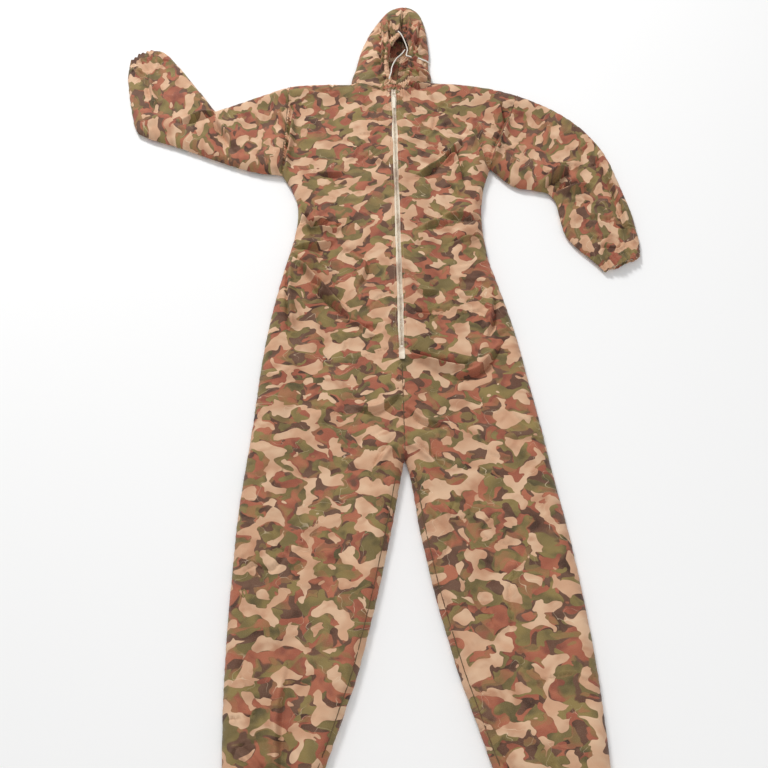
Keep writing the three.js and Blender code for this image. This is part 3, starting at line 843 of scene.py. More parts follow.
# the pieces are cut apart after one smooth subdivision, so their seams stay shut
for name in pieceNames:
    garment.data.materials.append(printedMaterial)
    garment.data.materials.append(printedMaterial)
garment.data.polygons.foreach_set("material_index", (owner * 2 + isBack).astype(np.int32))
addClothMap(garment, clothUv)
activate(garment)
finer = garment.modifiers.new("finer", "SUBSURF")
finer.levels = finer.render_levels = 1
finer.use_limit_surface = False
bpy.ops.object.modifier_apply(modifier="finer")

quadCount = len(garment.data.polygons)
quads = np.zeros(quadCount * 4, np.int32)
garment.data.loops.foreach_get("vertex_index", quads)
quads = quads.reshape(-1, 4)
quadMaterial = np.zeros(quadCount, np.int32)
garment.data.polygons.foreach_get("material_index", quadMaterial)
quadUv = np.zeros(quadCount * 8)
garment.data.uv_layers["cloth"].data.foreach_get("uv", quadUv)
quadUv = quadUv.reshape(-1, 4, 2)
surface = np.zeros(len(garment.data.vertices) * 3)
garment.data.vertices.foreach_get("co", surface)
surface = surface.reshape(-1, 3) / mm + np.array([0, waistRise, 0])
plan = surface[:, :2].copy()
onBack = np.zeros(len(surface), bool)
onBack[quads[quadMaterial % 2 == 1]] = True
onFront = np.zeros(len(surface), bool)
onFront[quads[quadMaterial % 2 == 0]] = True
edgeAway = distanceTo(plan, foldSegments)
hemAway = distanceTo(plan, hemSegments)
faceAway = distanceTo(plan, faceSegments)
print("garment subdivided:", len(surface), "points")

gatherSet = {
    "hemWave": 12.5, "hemHeight": 4.8, "hemReach": 52, "hemStitch": 21,
    "faceWave": 11.5, "faceHeight": 5.2, "faceReach": 52,
    "waistWave": 13.0, "waistHeight": 3.2, "waistReach": 24,
    "seamWave": 17.0, "seamHeight": 1.3, "seamSink": 2.2,
}


# rounded ridges with tight dips between them, drifting a little so no two are alike
def pleats(along, wave, drift):
    return 1.7 * np.abs(np.cos(math.pi * (along / wave + 0.55 * drift))) - 1.0


def hemPleats():
    heights = np.zeros(len(plan))
    for name in openRuns:
        line = outlineRuns[name]
        way = (line[-1] - line[0]) / np.linalg.norm(line[-1] - line[0])
        near = np.nonzero(distanceTo(plan, asSegments(line)) < 110)[0]
        along = (plan[near] - line[0]) @ way
        drift = noiseAt(plan[near], 34, 1.0, 1.7)
        uneven = 0.75 + 0.5 * noiseAt(plan[near], 60, 1, 9)
        fade = np.exp(-(hemAway[near] / gatherSet["hemReach"]) ** 2) * uneven
        heights[near] += gatherSet["hemHeight"] * fade * pleats(along, gatherSet["hemWave"], drift)
        stitched = np.exp(-((hemAway[near] - gatherSet["hemStitch"]) / 2.4) ** 2)
        heights[near] -= 1.4 * stitched
    return heights


def facePleats():
    near = np.nonzero(faceAway < 90)[0]
    away = plan[near] - np.array(face["centre"], float)
    turn = np.arctan2(away[:, 1] / face["half"][1], away[:, 0] / face["half"][0])
    around = turn / (2 * math.pi) * 400
    drift = noiseAt(plan[near], 26, 1.0, 4.4)
    fade = np.exp(-(faceAway[near] / gatherSet["faceReach"]) ** 2)
    heights = np.zeros(len(plan))
    heights[near] = gatherSet["faceHeight"] * fade * pleats(around, gatherSet["faceWave"], drift)
    return heights


def waistPleats():
    across = np.exp(-((plan[:, 1] - cutSet["waistAt"]) / gatherSet["waistReach"]) ** 2)
    near = np.nonzero(across > 0.02)[0]
    heights = np.zeros(len(plan))
    drift = noiseAt(plan[near], 40, 1.0, 6.1)
    folds = pleats(plan[near, 0], gatherSet["waistWave"], drift)
    heights[near] = gatherSet["waistHeight"] * across[near] * folds
    return heights


# thin broken crease lines of a crisp nonwoven cloth
def crinkles():
    bend = 26 * np.stack([noiseAt(plan, 120, 1, 2.2), noiseAt(plan, 120, 1, 5.9)], axis=1)
    lines = np.abs(noiseAt(plan + bend, 78, 1.35, 7.7))
    patch = ramp(noiseAt(plan, 140, 1, 11.3), -0.15, 0.35)
    fold = -1.5 * np.exp(-(lines / 0.045) ** 2) + 0.9 * np.exp(-((lines - 0.11) / 0.06) ** 2)
    return fold * patch + 0.55 * noiseAt(plan, 21, 1.3, 12.9)


def seamDips(names):
    segments = np.vstack([asSegments(seamLines[name]) for name in names])
    far = distanceTo(plan, segments)
    wave = np.cos(2 * math.pi * (plan[:, 0] * 0.62 + plan[:, 1]) / gatherSet["seamWave"])
    return (gatherSet["seamHeight"] * wave * np.exp(-((far - 5) / 5.5) ** 2)
            - gatherSet["seamSink"] * np.exp(-(far / 2.6) ** 2))


def inseamDips():
    rise = np.zeros(len(plan))
    for name in ("inseamRight", "inseamLeft"):
        far = distanceTo(plan, asSegments(outlineRuns[name]))
        low = ramp(plan[:, 1], -700, -640) * (1 - ramp(plan[:, 1], -70, -20))
        rise -= 2.2 * low * np.exp(-((far - 13) / 2.8) ** 2)
        rise += 0.7 * low * np.cos(2 * math.pi * plan[:, 1] / 19) * np.exp(-((far - 8) / 5) ** 2)
    return rise


# how much of each kind of relief the front and the back take
liftSet = {
    "crease": 1.7, "sharper": 1.5, "crinkle": 2.6, "waist": 0.5,
    "backRise": 1.0, "backWaist": 1.2, "backCrinkle": 0.7,
    "byZip": 0.85,             # how far the cloth beside the zip is kept level
    "lowest": 0.6, "highest": 57,
}
frontSeams = ("neck", "armholeRight", "armholeLeft", "crotchSeam", "crown", "chin")
inward = ramp(edgeAway, 1.5, 16)
gathers = hemPleats() + facePleats()
waistFolds = waistPleats()
thinFolds = crinkles()
frontLift = inward * (creaseHeights(plan, liftSet["sharper"]) * liftSet["crease"]
                      + liftSet["crinkle"] * thinFolds
                      + liftSet["waist"] * waistFolds * ramp(np.abs(plan[:, 0]), 60, 150)
                      + seamDips(frontSeams) + inseamDips())
frontLift *= 1 - liftSet["byZip"] * besideZipShare(plan)
backLift = inward * (np.clip(gathers, -0.5, None) + liftSet["backRise"]
                     + np.clip(waistFolds, 0, None) * liftSet["backWaist"]
                     + liftSet["backCrinkle"] * np.clip(thinFolds, 0, None))
frontOnly = onFront & ~onBack
backOnly = onBack & ~onFront
surface[frontOnly, 2] += (frontLift + gathers * ramp(edgeAway, 0.5, 9))[frontOnly]
surface[backOnly, 2] += backLift[backOnly]
hemSides = onFront & onBack
surface[hemSides, 2] += (0.5 * gathers * np.exp(-(hemAway / 25) ** 2))[hemSides]
lipWave = 2.4 * noiseAt(plan, 58, 1.0, 21.0) + 1.0 * noiseAt(plan, 19, 1.0, 24.0)
lip = np.exp(-(np.clip(np.abs(plan[:, 0]) - 5, 0, None) / 7) ** 2) * ramp(plan[:, 1], 262, 285) * (
    1 - ramp(plan[:, 1], 1020, 1045)) * frontOnly
surface[:, 0] += lip * np.where(plan[:, 0] > 0, 1, -1) * (1.1 * lipWave + 0.5)
surface[:, 2] -= 0.9 * np.exp(-((np.abs(plan[:, 0]) - 5) / 2.2) ** 2) * lip
surface[:, 2] = np.clip(surface[:, 2], liftSet["lowest"], liftSet["highest"])


def cutPiece(index):
    mine = np.nonzero(quadMaterial // 2 == index)[0]
    corners = quads[mine]
    kept, remapped = np.unique(corners, return_inverse=True)
    made = meshObject(pieceNames[index], toFrame(surface[kept]), remapped.reshape(-1, 4), [printedMaterial])
    addClothMap(made, quadUv[mine])
    smoothAll(made)
    return made


cloth = {name: cutPiece(index) for index, name in enumerate(pieceNames)}
bpy.data.objects.remove(garment)
print("cloth pieces cut")

# which way each limb runs, and two distances from its joint along it where a bend would start and end; the
# pieces are only baked in place, not bent
bendSet = {"leg": (-0.06, 0.06), "sleeve": (0.0, 0.085), "hood": (0.429, 0.49)}
legWay = {"right": (-0.1357, -0.9907), "left": (0.1357, -0.9907)}
armWay = {"right": (-0.9992, 0.0397), "left": (0.9357, -0.3527)}
jointAt = {joint["name"]: Vector(joint.get("pos_m", (0, 0, 0))) for joint in frame["joints"]}


def bendAt(item, joint, parent, child, way, start, end):
    middle = jointAt[joint]
    direction = Vector((*way, 0))
    middle + direction * start
    middle + direction * end
    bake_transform(item)


def bendPiece(item, name):
    side = "right" if name.endswith("Right") else "left"
    if name.startswith("body"):
        bendAt(item, "leg_fold_" + side, "torso", "lower_leg_" + side, legWay[side], *bendSet["leg"])
    elif name.startswith("sleeve"):
        bendAt(item, "sleeve_fold_" + side, "torso", "sleeve_" + side, armWay[side], *bendSet["sleeve"])
    else:
        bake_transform(item)


replaced = {
    "body": ["body_{0}", "inseam_thigh_{0}", "lower_leg_{0}", "ankle_hem_{0}", "inseam_shin_{0}"],
    "sleeve": ["sleeve_{0}", "cuff_hem_{0}"],
    "hood": ["hood_{0}"],
}
for name, item in cloth.items():
    side = "right" if name.endswith("Right") else "left"
    kind = name[:-len(side)]
    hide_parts(*[node.format(side) for node in replaced[kind]])
    bendPiece(item, name)
sewnOn = {name: [] for name in cloth}

allPoints = toFrame(surface)
frontTree = BVHTree.FromPolygons([Vector(p) for p in allPoints], quads[quadMaterial % 2 == 0].tolist())
backTree = BVHTree.FromPolygons([Vector(p) for p in allPoints], quads[quadMaterial % 2 == 1].tolist())


# points of the plan put on the cloth's front, or on its back from below
def dropOn(points, back=False):
    tree = backTree if back else frontTree
    found = []
    for x, y in points:
        start = Vector((x * mm, (y - waistRise) * mm, -0.1 if back else 0.2))
        hit = tree.ray_cast(start, Vector((0, 0, 1 if back else -1)))
        if hit[0] is None:
            hit = tree.find_nearest(Vector((start.x, start.y, 0.001 if back else 0.03)))
        found.append(hit[0].z / mm)
    return np.column_stack([points, found])


# a flat-bottomed ridge that follows the cloth along a line
def welt(name, lines, width, height, material):
    profile = [(-0.5, -0.5), (-0.42, 0.35), (0, 1.0), (0.42, 0.35), (0.5, -0.5)]
    points, faceList, maps = [], [], []
    for line, back in lines:
        smooth = dropOn(line, back)
        kernel = np.array([1, 2, 3, 2, 1]) / 9
        padded = np.concatenate([[smooth[0, 2]] * 2, smooth[:, 2], [smooth[-1, 2]] * 2])
        smooth[:, 2] = np.convolve(padded, kernel, "valid")
        ways = np.gradient(line, axis=0)
        ways /= np.linalg.norm(ways, axis=1)[:, None]
        first = len(points)
        travelled = np.concatenate([[0], np.cumsum(np.linalg.norm(np.diff(line, axis=0), axis=1))])
        for centre, way in zip(smooth, ways):
            for across, up in profile:
                points.append((centre[0] - way[1] * across * width, centre[1] + way[0] * across * width,
                               centre[2] + (-1 if back else 1) * up * height))
        size = len(profile)
        for k in range(len(line) - 1):
            for j in range(size):
                a, b = first + k * size + j, first + k * size + (j + 1) % size
                quad = (a, b, b + size, a + size)
                faceList.append(quad if not back else quad[::-1])
                u0, u1, v0, v1 = j / size, (j + 1) / size, travelled[k] * mm, travelled[k + 1] * mm
                corners = [(u0, v0), (u1, v0), (u1, v1), (u0, v1)]
                maps += corners if not back else corners[::-1]
    made = meshObject(name, toFrame(points), faceList, [material])
    addClothMap(made, maps)
    outward(made)
    smoothAll(made)
    return made


def outward(item):
    activate(item)
    bpy.ops.object.mode_set(mode="EDIT")
    bpy.ops.mesh.select_all(action="SELECT")
    bpy.ops.mesh.normals_make_consistent(inside=False)
    bpy.ops.object.mode_set(mode="OBJECT")


# short threads lying along a line on the cloth
stitchSet = {"long": 2.6, "pitch": 3.9, "thick": 0.75}


def stitches(name, lines, material):
    points, faceList = [], []
    shape = [(-0.5, -0.5, 0.2), (-0.5, 0.5, 0.2), (-0.25, 0, 1.0),
             (0.25, 0, 1.0), (0.5, -0.5, 0.2), (0.5, 0.5, 0.2)]
    sides = [(0, 2, 1), (0, 4, 3, 2), (1, 2, 3, 5), (4, 5, 3), (0, 1, 5, 4)]
    for line, back in lines:
        way = smoothLine(line, stitchSet["pitch"])
        middles = (way[:-1] + way[1:]) / 2
        ways = np.diff(way, axis=0)
        ways /= np.linalg.norm(ways, axis=1)[:, None]
        for centre, direction in zip(dropOn(middles, back), ways):
            first = len(points)
            for along, across, up in shape:
                a, c = along * stitchSet["long"], across * stitchSet["thick"]
                points.append((centre[0] + direction[0] * a - direction[1] * c,
                               centre[1] + direction[1] * a + direction[0] * c,
                               centre[2] + (-1 if back else 1) * up * stitchSet["thick"] * 0.8))
            faceList += [tuple(first + i for i in side) for side in sides]
    made = meshObject(name, toFrame(points), faceList, [material])
    outward(made)
    return made


def threadMaterial(name, tone):
    shade = Shade(name, Roughness=0.6, Specular_IOR_Level=0.3)
    spot = shade.node("TexCoord", None, None, 3)
    soil = shade.step(shade.noise(spot, 160, 3, 0.6), 0.35, 0.7)
    shade.colour(shade.mix(soil, linear(tone), tuple(0.72 * c for c in linear(tone))))
    shade.bump(shade.noise(spot, 1500, 2, 0.6), 0.4, 0.0004)
    return shade.material


def seamMaterial(name):
    shade = Shade(name, Roughness=0.75, Specular_IOR_Level=0.25)
    along = shade.node("SeparateXYZ", None, {"Vector": shade.node("UVMap", {"uv_map": "cloth"})}, 1)
    turns = shade.math("PINGPONG", along * 420, 0.5) * 2
    stitch = shade.step(turns, 0.2, 0.7)
    tone = shade.noise(shade.node("TexCoord", None, None, 3), 24, 2, 0.5)
    base = shade.mix(shade.step(tone, 0.42, 0.58), linear("5c3f2f"), linear("504a31"))
    shade.colour(shade.mix(stitch * 0.4, base, linear("94765a")))
    shade.bump(stitch, 0.5, 0.0006)
    return shade.material


# woven tape: fine herringbone across and a rib along, cream with a little of the print's dye on it and a
# painted highlight on its raised threads
def tapeMaterial(name, tone, ribs=900):
    shade = Shade(name, Roughness=0.72, Specular_IOR_Level=0.3, Sheen_Weight=0.15)
    spot = shade.node("TexCoord", None, None, 3)
    x = shade.node("SeparateXYZ", None, {"Vector": spot}, 0)
    y = shade.node("SeparateXYZ", None, {"Vector": spot}, 1)
    cross = shade.math("PINGPONG", y * ribs, 0.5) * 2
    warp = shade.math("PINGPONG", x * (ribs * 0.8), 0.5) * 2
    weave = cross * 0.6 + warp * 0.4
    stain = shade.step(shade.noise(spot, 38, 4, 0.6, 0.5), 0.45, 0.7)
    patch = shade.step(shade.noise(spot, 17, 2, 0.5), 0.5, 0.62)
    base = shade.mix(stain * 0.5, linear(tone), linear("cdb292"))
    base = shade.mix(patch * 0.55, base, linear("a57c60"))
    # painted highlight: the raised threads of the weave are painted lighter, on top of their bump
    shade.colour(shade.mix(weave * 0.25, base, linear("fff6e6")))
    shade.bump(weave, 0.5, 0.0005)
    return shade.material


def coilMaterial(name):
    shade = Shade(name, Roughness=0.38, Specular_IOR_Level=0.5, Coat_Weight=0.15)
    spot = shade.node("TexCoord", None, None, 3)
    worn = shade.step(shade.noise(spot, 120, 3, 0.6), 0.4, 0.7)
    stained = shade.step(shade.noise(spot, 34, 3, 0.6), 0.52, 0.66)
    base = shade.mix(worn, linear("fbf1e0"), linear("e6d3b8"))
    shade.colour(shade.mix(stained * 0.6, base, linear("a98468")))
    shade.bump(shade.noise(spot, 2600, 2, 0.5), 0.2, 0.0002)
    return shade.material


def lacquerMaterial(name, tone):
    shade = Shade(name, Metallic=0.0, Roughness=0.34, Specular_IOR_Level=0.55, Coat_Weight=0.35)
    spot = shade.node("TexCoord", None, None, 3)
    worn = shade.step(shade.noise(spot, 260, 4, 0.65, 0.3), 0.55, 0.72)
    shade.colour(shade.mix(worn * 0.5, linear(tone), linear("b7a287")))
    shade.feed(shade.surface, "Roughness", 0.3 + worn * 0.25)
    shade.bump(shade.noise(spot, 900, 3, 0.6), 0.25, 0.0002)
    return shade.material


def cordMaterial(name):
    shade = Shade(name, Roughness=0.68, Specular_IOR_Level=0.3, Sheen_Weight=0.2)
    lay = shade.node("UVMap", {"uv_map": "cloth"})
    u = shade.node("SeparateXYZ", None, {"Vector": lay}, 0)
    v = shade.node("SeparateXYZ", None, {"Vector": lay}, 1)
    one = shade.math("PINGPONG", u * 4 + v * 700, 0.5) * 2
    two = shade.math("PINGPONG", u * 4 - v * 700, 0.5) * 2
    braid = shade.math("MAXIMUM", one, two)
    soil = shade.noise(shade.node("TexCoord", None, None, 3), 90, 3, 0.6)
    base = shade.mix(shade.step(soil, 0.4, 0.75) * 0.5, linear("fffaf2"), linear("e4d8c6"))
    # painted shade: the grooves between the braid's strands are painted darker, on top of their bump
    shade.colour(shade.mix(shade.step(braid, 0.2, 0.75), linear("d2c4ae"), base))
    shade.bump(braid, 0.6, 0.0005)
    return shade.material


seamThread = seamMaterial("sergedSeam")
topThread = threadMaterial("topThread", "cdb08e")
zipTapeMaterial = tapeMaterial("zipTape", "f4e6d0")
coilNylon = coilMaterial("zipCoil")
sliderLacquer = lacquerMaterial("sliderLacquer", "efe4d0")
cordBraid = cordMaterial("cordBraid")

cordNodes = {"cordTailRight": "cord_tail_right", "cordTailLeft": "cord_tail_left", "cordBight": "cord_bight"}
for name, item in cords.items():
    item.data.materials.append(cordBraid)
    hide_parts(cordNodes[name])
    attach(item, "hood")
    centre, long = cordLine(cordRoutes[name], 3.0)
    "object" if name == "cordBight" else "bare"
print("cords finished")


# seams, each a fine ridge on both faces of the cloth
seamSet = {"width": 2.4, "height": 0.9}


def between(line, low, high):
    return line[(line[:, 1] >= low) & (line[:, 1] <= high)]


def inset(line, distance):
    ways = np.gradient(line, axis=0)
    ways /= np.linalg.norm(ways, axis=1)[:, None]
    return line + distance * np.column_stack([-ways[:, 1], ways[:, 0]])


def short(line, ends=1):
    return line[ends:-ends]


seamLine = {name: smoothLine(points, 6) for name, points in seams.items()}
inseamInner = {"right": inset(outlineRuns["inseamRight"], 13), "left": inset(outlineRuns["inseamLeft"], 13)}
neckLine = seamLine["neck"]
neckRight = short(neckLine[neckLine[:, 0] < -5])
neckLeft = short(neckLine[neckLine[:, 0] > 5])
backLine = np.vstack([seamLine["crotchSeam"][:-1], seamLine["centreBack"]])
hoodLine = np.vstack([seamLine["chin"][:-1], seamLine["hoodBack"][:-1], seamLine["crown"]])
armholeRight = short(seamLine["armholeRight"])
armholeLeft = short(seamLine["armholeLeft"])
seamPieces = {
    "neckSeam": ([(neckRight, False), (neckLeft, False), (short(neckLine), True)], "neck_seam"),
    "armholeSeamRight": ([(armholeRight, False), (armholeRight, True)], "armhole_seam_right"),
    "armholeSeamLeft": ([(armholeLeft, False), (armholeLeft, True)], "armhole_seam_left"),
    "centreFrontSeam": ([(between(seamLine["crotchSeam"], 12, 228), False)], "centre_front_seam"),
    "centreBackSeam": ([(between(backLine, 12, 1040), True)], "centre_back_seam"),
    "hoodSeam": ([(short(seamLine["crown"], 2), False), (short(hoodLine, 2), True)], "hood_centre_seam"),
}
for name, (lines, node) in seamPieces.items():
    piece = welt(name, lines, seamSet["width"], seamSet["height"], seamThread)
    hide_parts(node)
    if name == "hoodSeam":
        bendPiece(piece, "hood")
    else:
        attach(piece, "torso")
for side in ("right", "left"):
    line = between(inseamInner[side], -690, -40)
    name = "inseam" + side.capitalize()
    piece = welt(name, [(line, False), (line, True)], seamSet["width"], seamSet["height"], seamThread)
    bendPiece(piece, "body" + side.capitalize())
    sewnOn["body" + side.capitalize()].append(piece)
print("seams sewn")

# hems: the turned-in cloth and the elastic inside it, cut from the sleeve and leg ends
hemSet = {"deep": 24, "inset": 1.1, "thick": 1.0, "elasticFrom": 5, "elasticTo": 19, "elasticThick": 0.8,
          "gap": 0.3, "lowest": 0.3}


def bandOf(source, name, low, high, offset, thick, material, run):
    mesh = source.data
    line = outlineRuns[run]
    centre = line.mean(axis=0)
    middles = np.array([tuple(f.center) for f in mesh.polygons]) / mm + np.array([0, waistRise, 0])
    near = np.nonzero(np.linalg.norm(middles[:, :2] - centre, axis=1) < 150)[0]
    gap = distanceTo(middles[near, :2], asSegments(line))
    mine = near[(gap > low) & (gap < high)]
    corners = np.array([tuple(mesh.polygons[int(i)].vertices) for i in mine])
    maps = np.array([[tuple(mesh.uv_layers["cloth"].data[k].uv) for k in mesh.polygons[int(i)].loop_indices]
                     for i in mine])
    kept, remapped = np.unique(corners, return_inverse=True)
    picked = [mesh.vertices[int(i)] for i in kept]
    points = [v.co - v.normal * offset * mm for v in picked]
    made = meshObject(name, points, remapped.reshape(-1, 4), [material])
    addClothMap(made, maps)
    thicken(made, thick * mm)
    for v in made.data.vertices:
        v.co.z = max(v.co.z, hemSet["lowest"] * mm)
    smoothAll(made)
    return made


elasticShade = tapeMaterial("elasticBand", "e6dccb", 420)
hemNames = {"wristRight": ("sleeveRight", "cuff", "right"), "wristLeft": ("sleeveLeft", "cuff", "left"),
            "ankleRight": ("bodyRight", "ankle", "right"), "ankleLeft": ("bodyLeft", "ankle", "left")}
for run, (source, kind, side) in hemNames.items():
    ending = side.capitalize()
    turned = bandOf(cloth[source], kind + "Hem" + ending, -1, hemSet["deep"], hemSet["inset"],
                    hemSet["thick"], printedMaterial, run)
    inner = hemSet["inset"] + hemSet["thick"] + hemSet["gap"]
    band = bandOf(cloth[source], kind + "Elastic" + ending, hemSet["elasticFrom"], hemSet["elasticTo"],
                  inner, hemSet["elasticThick"], elasticShade, run)
    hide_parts(f"{kind}_elastic_{side}")
    bendPiece(turned, source)
    bendPiece(band, source)
    row = short(inset(smoothLine(outlineRuns[run], 6), gatherSet["hemStitch"]), 2)
    thread = stitches(kind + "Stitches" + ending, [(row, False), (row, True)], topThread)
    bendPiece(thread, source)
    sewnOn[source] += [turned, band, thread]
print("cuffs and ankles hemmed")

waistSet = {"from": -206, "to": 180, "points": 80, "width": 11.0, "height": 0.5, "stitchAt": 4.2}
waistLine = np.column_stack([np.linspace(waistSet["from"], waistSet["to"], waistSet["points"]),
                             np.full(waistSet["points"], float(cutSet["waistAt"]))])
waistBand = welt("waistElastic", [(waistLine, True)], waistSet["width"], waistSet["height"], elasticShade)
waistRows = [(waistLine + [0, offset], True) for offset in (-waistSet["stitchAt"], waistSet["stitchAt"])]
waistThreads = stitches("waistStitches", waistRows, topThread)
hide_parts("waist_elastic")
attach(waistBand, "torso")
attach(waistThreads, "torso")
print("waist elastic sewn")

# face hem: a gathered tube of cloth round the opening, with the drawcord running in it
casingSet = {"grow": 4.5, "wide": 7.2, "high": 4.4, "puckers": 46, "rings": 276, "sides": 14}


def faceCasing():
    around = ellipsePoints(casingSet["grow"], casingSet["rings"])
    heights = dropOn(ellipsePoints(casingSet["grow"] + 5, casingSet["rings"]))[:, 2]
    kernel = np.ones(9) / 9
    heights = np.convolve(np.concatenate([heights[-4:], heights, heights[:4]]), kernel, "valid")
    ways = np.roll(around, -1, axis=0) - np.roll(around, 1, axis=0)
    ways /= np.linalg.norm(ways, axis=1)[:, None]
    points, faceList, maps = [], [], []
    size = casingSet["sides"]
    for k, (spot, way, top) in enumerate(zip(around, ways, heights)):
        turn = 2 * math.pi * k / casingSet["rings"]
        drift = 0.9 * noise.noise(Vector((3 * math.cos(turn), 3 * math.sin(turn), 2.0)))
        pucker = abs(math.cos(0.5 * casingSet["puckers"] * (turn + 0.12 * drift)))
        swell = 0.72 + 0.36 * pucker + 0.18 * drift
        out = np.array([way[1], -way[0]])
        for j in range(size):
            angle = 2 * math.pi * j / size
            across = math.cos(angle) * casingSet["wide"] * (0.86 + 0.14 * pucker)
            up = math.sin(angle) * casingSet["high"] * swell
            points.append((spot[0] + out[0] * across, spot[1] + out[1] * across, top - 1.2 + up))
    rings = casingSet["rings"]
    for k in range(rings):
        for j in range(size):
            a, b = k * size + j, k * size + (j + 1) % size
            c, d = ((k + 1) % rings) * size + (j + 1) % size, ((k + 1) % rings) * size + j
            faceList.append((a, b, c, d))
            for kk, jj in ((k, j), (k, j + 1), (k + 1, j + 1), (k + 1, j)):
                maps.append((0.31 + 0.34 * kk / rings, 0.62 + 0.03 * jj / size))
    made = meshObject("faceCasing", toFrame(points), faceList, [printedMaterial])
    addClothMap(made, maps)
    outward(made)
    smoothAll(made)
    return made


casing = faceCasing()
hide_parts("face_hem", "drawcord")
bendPiece(casing, "hood")
print("face hem gathered")

# the zip: two woven tapes, two coils of nylon, top stops, bottom stop, slider and pull
tapeSide = {"right": -1, "left": 1}
zipSet = {
    "coilWire": 0.42, "pitch": 2.1, "turnPoints": 10, "wireSides": 5,
    "tapeGap": 0.15, "coilGap": 0.3,   # how far off the middle each tape and each coil starts
    "pastTop": 13,             # how far the tapes run on under the hood
    "columns": 10, "rows": 260, "tapeThick": 0.6, "sunk": 0.4,
    "stitchAt": 12.0,
}


def tapePiece(side):
    low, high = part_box("zip_tape_" + side)
    columns, rows = zipSet["columns"], zipSet["rows"]
    outer = low.x if side == "right" else high.x
    inner = zipSet["tapeGap"] * mm * tapeSide[side]
    xs = np.linspace(min(inner, outer), max(inner, outer), columns)
    ys = np.linspace(low.y, high.y + zipSet["pastTop"] * mm, rows)
    points, faceList = [], []
    for y in ys:
        for x in xs:
            wave = 0.00012 * math.sin(y * 900)
            points.append((x, y, high.z - zipSet["sunk"] * mm + wave))
    for i in range(rows - 1):
        for j in range(columns - 1):
            a = i * columns + j
            faceList.append((a, a + 1, a + 1 + columns, a + columns))
    made = meshObject("zipTape" + side.capitalize(), points, faceList, [zipTapeMaterial])
    thicken(made, zipSet["tapeThick"] * mm)
    smoothAll(made)
    return made


def coilPiece(side):
    low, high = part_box("zip_coil_" + side)
    wire = zipSet["coilWire"] * mm
    if side == "right":
        high.x = -zipSet["coilGap"] * mm
    else:
        low.x = zipSet["coilGap"] * mm
    middle, half = (low + high) / 2, (high - low) / 2
    turns = int((high.y - low.y) / (zipSet["pitch"] * mm)) - 1
    steps = turns * zipSet["turnPoints"]
    centres = []
    for k in range(steps + 1):
        angle = 2 * math.pi * k / zipSet["turnPoints"]
        centres.append((middle.x + tapeSide[side] * math.cos(angle) * (half.x - wire),
                        low.y + wire + k / zipSet["turnPoints"] * zipSet["pitch"] * mm,
                        middle.z + math.sin(angle) * (half.z - wire)))
    centres = np.array(centres)
    ways = np.gradient(centres, axis=0)
    ways /= np.linalg.norm(ways, axis=1)[:, None]
    first = np.cross(ways, np.array([0.0, 1.0, 0.0]))
    first /= np.linalg.norm(first, axis=1)[:, None]
    second = np.cross(ways, first)
    size = zipSet["wireSides"]
    angles = np.linspace(0, 2 * math.pi, size, endpoint=False)
    rings = centres[:, None] + wire * (np.cos(angles)[None, :, None] * first[:, None]
                                       + np.sin(angles)[None, :, None] * second[:, None])
    points = rings.reshape(-1, 3)
    faceList = [(k * size + j, k * size + (j + 1) % size, (k + 1) * size + (j + 1) % size, (k + 1) * size + j)
                for k in range(steps) for j in range(size)]
    faceList += [tuple(range(size)), tuple(reversed(range(steps * size, steps * size + size)))]
    made = meshObject("zipCoil" + side.capitalize(), points, faceList, [coilNylon])
    outward(made)
    smoothAll(made)
    return made


for side in ("right", "left"):
    tape = tapePiece(side)
    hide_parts("zip_tape_" + side)
    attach(tape, "torso")
    coil = coilPiece(side)
    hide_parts("zip_coil_" + side)
    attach(coil, "torso")
    aside = tapeSide[side] * zipSet["stitchAt"]
    edge = np.array([(aside, 266), (aside, 600), (aside, 1036)])
    rowOfThreads = stitches("zipStitches" + side.capitalize(), [(smoothLine(edge, 9), False)], topThread)
    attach(rowOfThreads, "torso")
print("zip fitted")


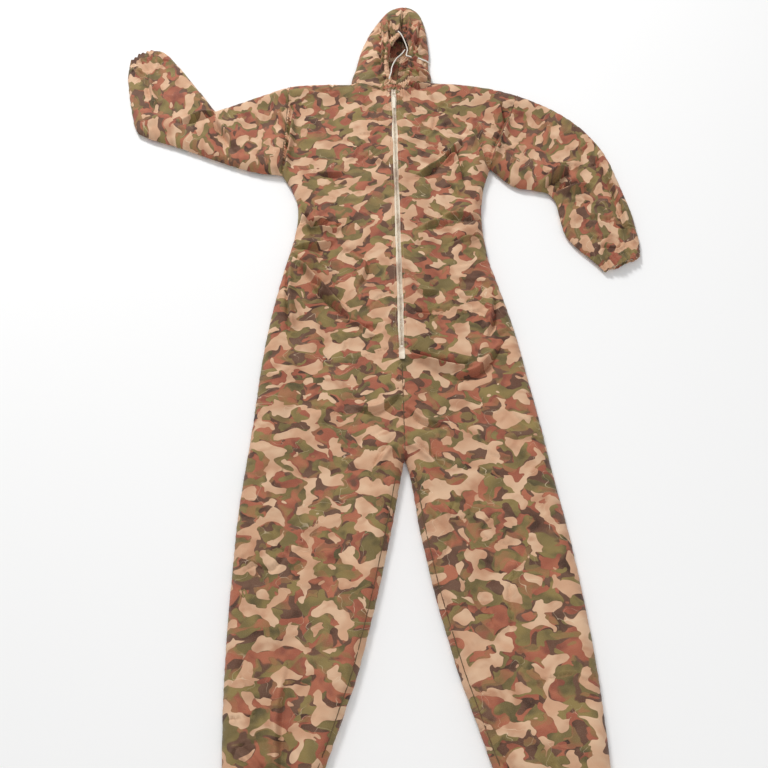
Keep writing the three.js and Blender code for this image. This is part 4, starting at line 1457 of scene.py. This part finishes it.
# the small patch that finishes the zip's lower end
def endPatch():
    low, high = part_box("zip_end_patch")
    centre = (low + high) / 2
    deselectAll()
    bpy.ops.mesh.primitive_grid_add(x_subdivisions=12, y_subdivisions=24, size=1, location=(0, 0, 0))
    made = bpy.context.object
    made.name = "zipEndPatch"
    for vertex in made.data.vertices:
        x, y = vertex.co.x, vertex.co.y
        bulge = 1 - max(abs(x), abs(y)) * 2
        corner = max(0.0, abs(x) * 2 + abs(y) * 2 - 1.72) * 0.5
        vertex.co.x = centre.x + x * (high.x - low.x) * (1 - corner)
        vertex.co.y = centre.y + y * (high.y - low.y) * (1 - corner * 0.5)
        ripple = 0.00025 * math.sin(vertex.co.y * 700) * bulge
        vertex.co.z = high.z - 0.0002 - 0.0006 * math.exp(-bulge * 9) + ripple
    made.data.materials.append(zipTapeMaterial)
    thicken(made, zipSet["tapeThick"] * mm)
    smoothAll(made)
    return made


patch = endPatch()
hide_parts("zip_end_patch")
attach(patch, "torso")
for node in ("zip_slider", "pull_tab", "zip_top_stop_right", "zip_top_stop_left", "zip_bottom_stop"):
    for holder in frame["nodes"][node].material_slots:
        holder.material = sliderLacquer
print("slider and stops finished")

# the corners and sides of every cloth face at the size it was cut to, and each cloth piece's kind; no area is
# worked out
cutCorners = cutPoints(positions)[faces] * mm
cutSides = cutCorners[:, 1:] - cutCorners[:, :1]
for index, (name, item) in enumerate(cloth.items()):
    kind = name.replace("Right", "").replace("Left", "")

floorSet = {"size": 14, "tone": 0.97}
bpy.ops.mesh.primitive_plane_add(size=floorSet["size"], location=(0, 0, -0.0005))
floor = bpy.context.object
floor.name = "floor"
floorShade = Shade("paleFloor", Roughness=0.95, Specular_IOR_Level=0.1)
tone = floorSet["tone"]
mottle = floorShade.noise(floorShade.node("TexCoord", None, None, 3), 3.0, 2, 0.5)
floorShade.colour(floorShade.mix(mottle, (tone, tone, tone), (tone * 0.995, tone * 0.995, tone * 0.99)))
floor.data.materials.append(floorShade.material)
floor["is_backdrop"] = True

# the main soft box stands beyond the head end, a wider and weaker one past the feet, under an even sky
skyStrength = 0.51
lights = {
    "above": {"spot": (-1.7, 3.5, 3.4), "aim": (0, -0.4, 0), "size": 1.1, "power": 172},
    "foot": {"spot": (0.9, -2.6, 3.4), "aim": (0, -0.5, 0), "size": 2.4, "power": 28},
}
for name, light in lights.items():
    bpy.ops.object.light_add(type="AREA", location=light["spot"])
    lamp = bpy.context.object
    lamp.name = name
    lamp.data.size = light["size"]
    lamp.data.energy = light["power"]
    lamp.rotation_euler = (Vector(light["aim"]) - Vector(light["spot"])).to_track_quat("-Z", "Y").to_euler()
sky = bpy.data.worlds.new("studio")
sky.use_nodes = True
sky.node_tree.nodes["Background"].inputs["Color"].default_value = (1, 1, 1, 1)
sky.node_tree.nodes["Background"].inputs["Strength"].default_value = skyStrength
bpy.context.scene.world = sky
print("floor and lights set")

low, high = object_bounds()
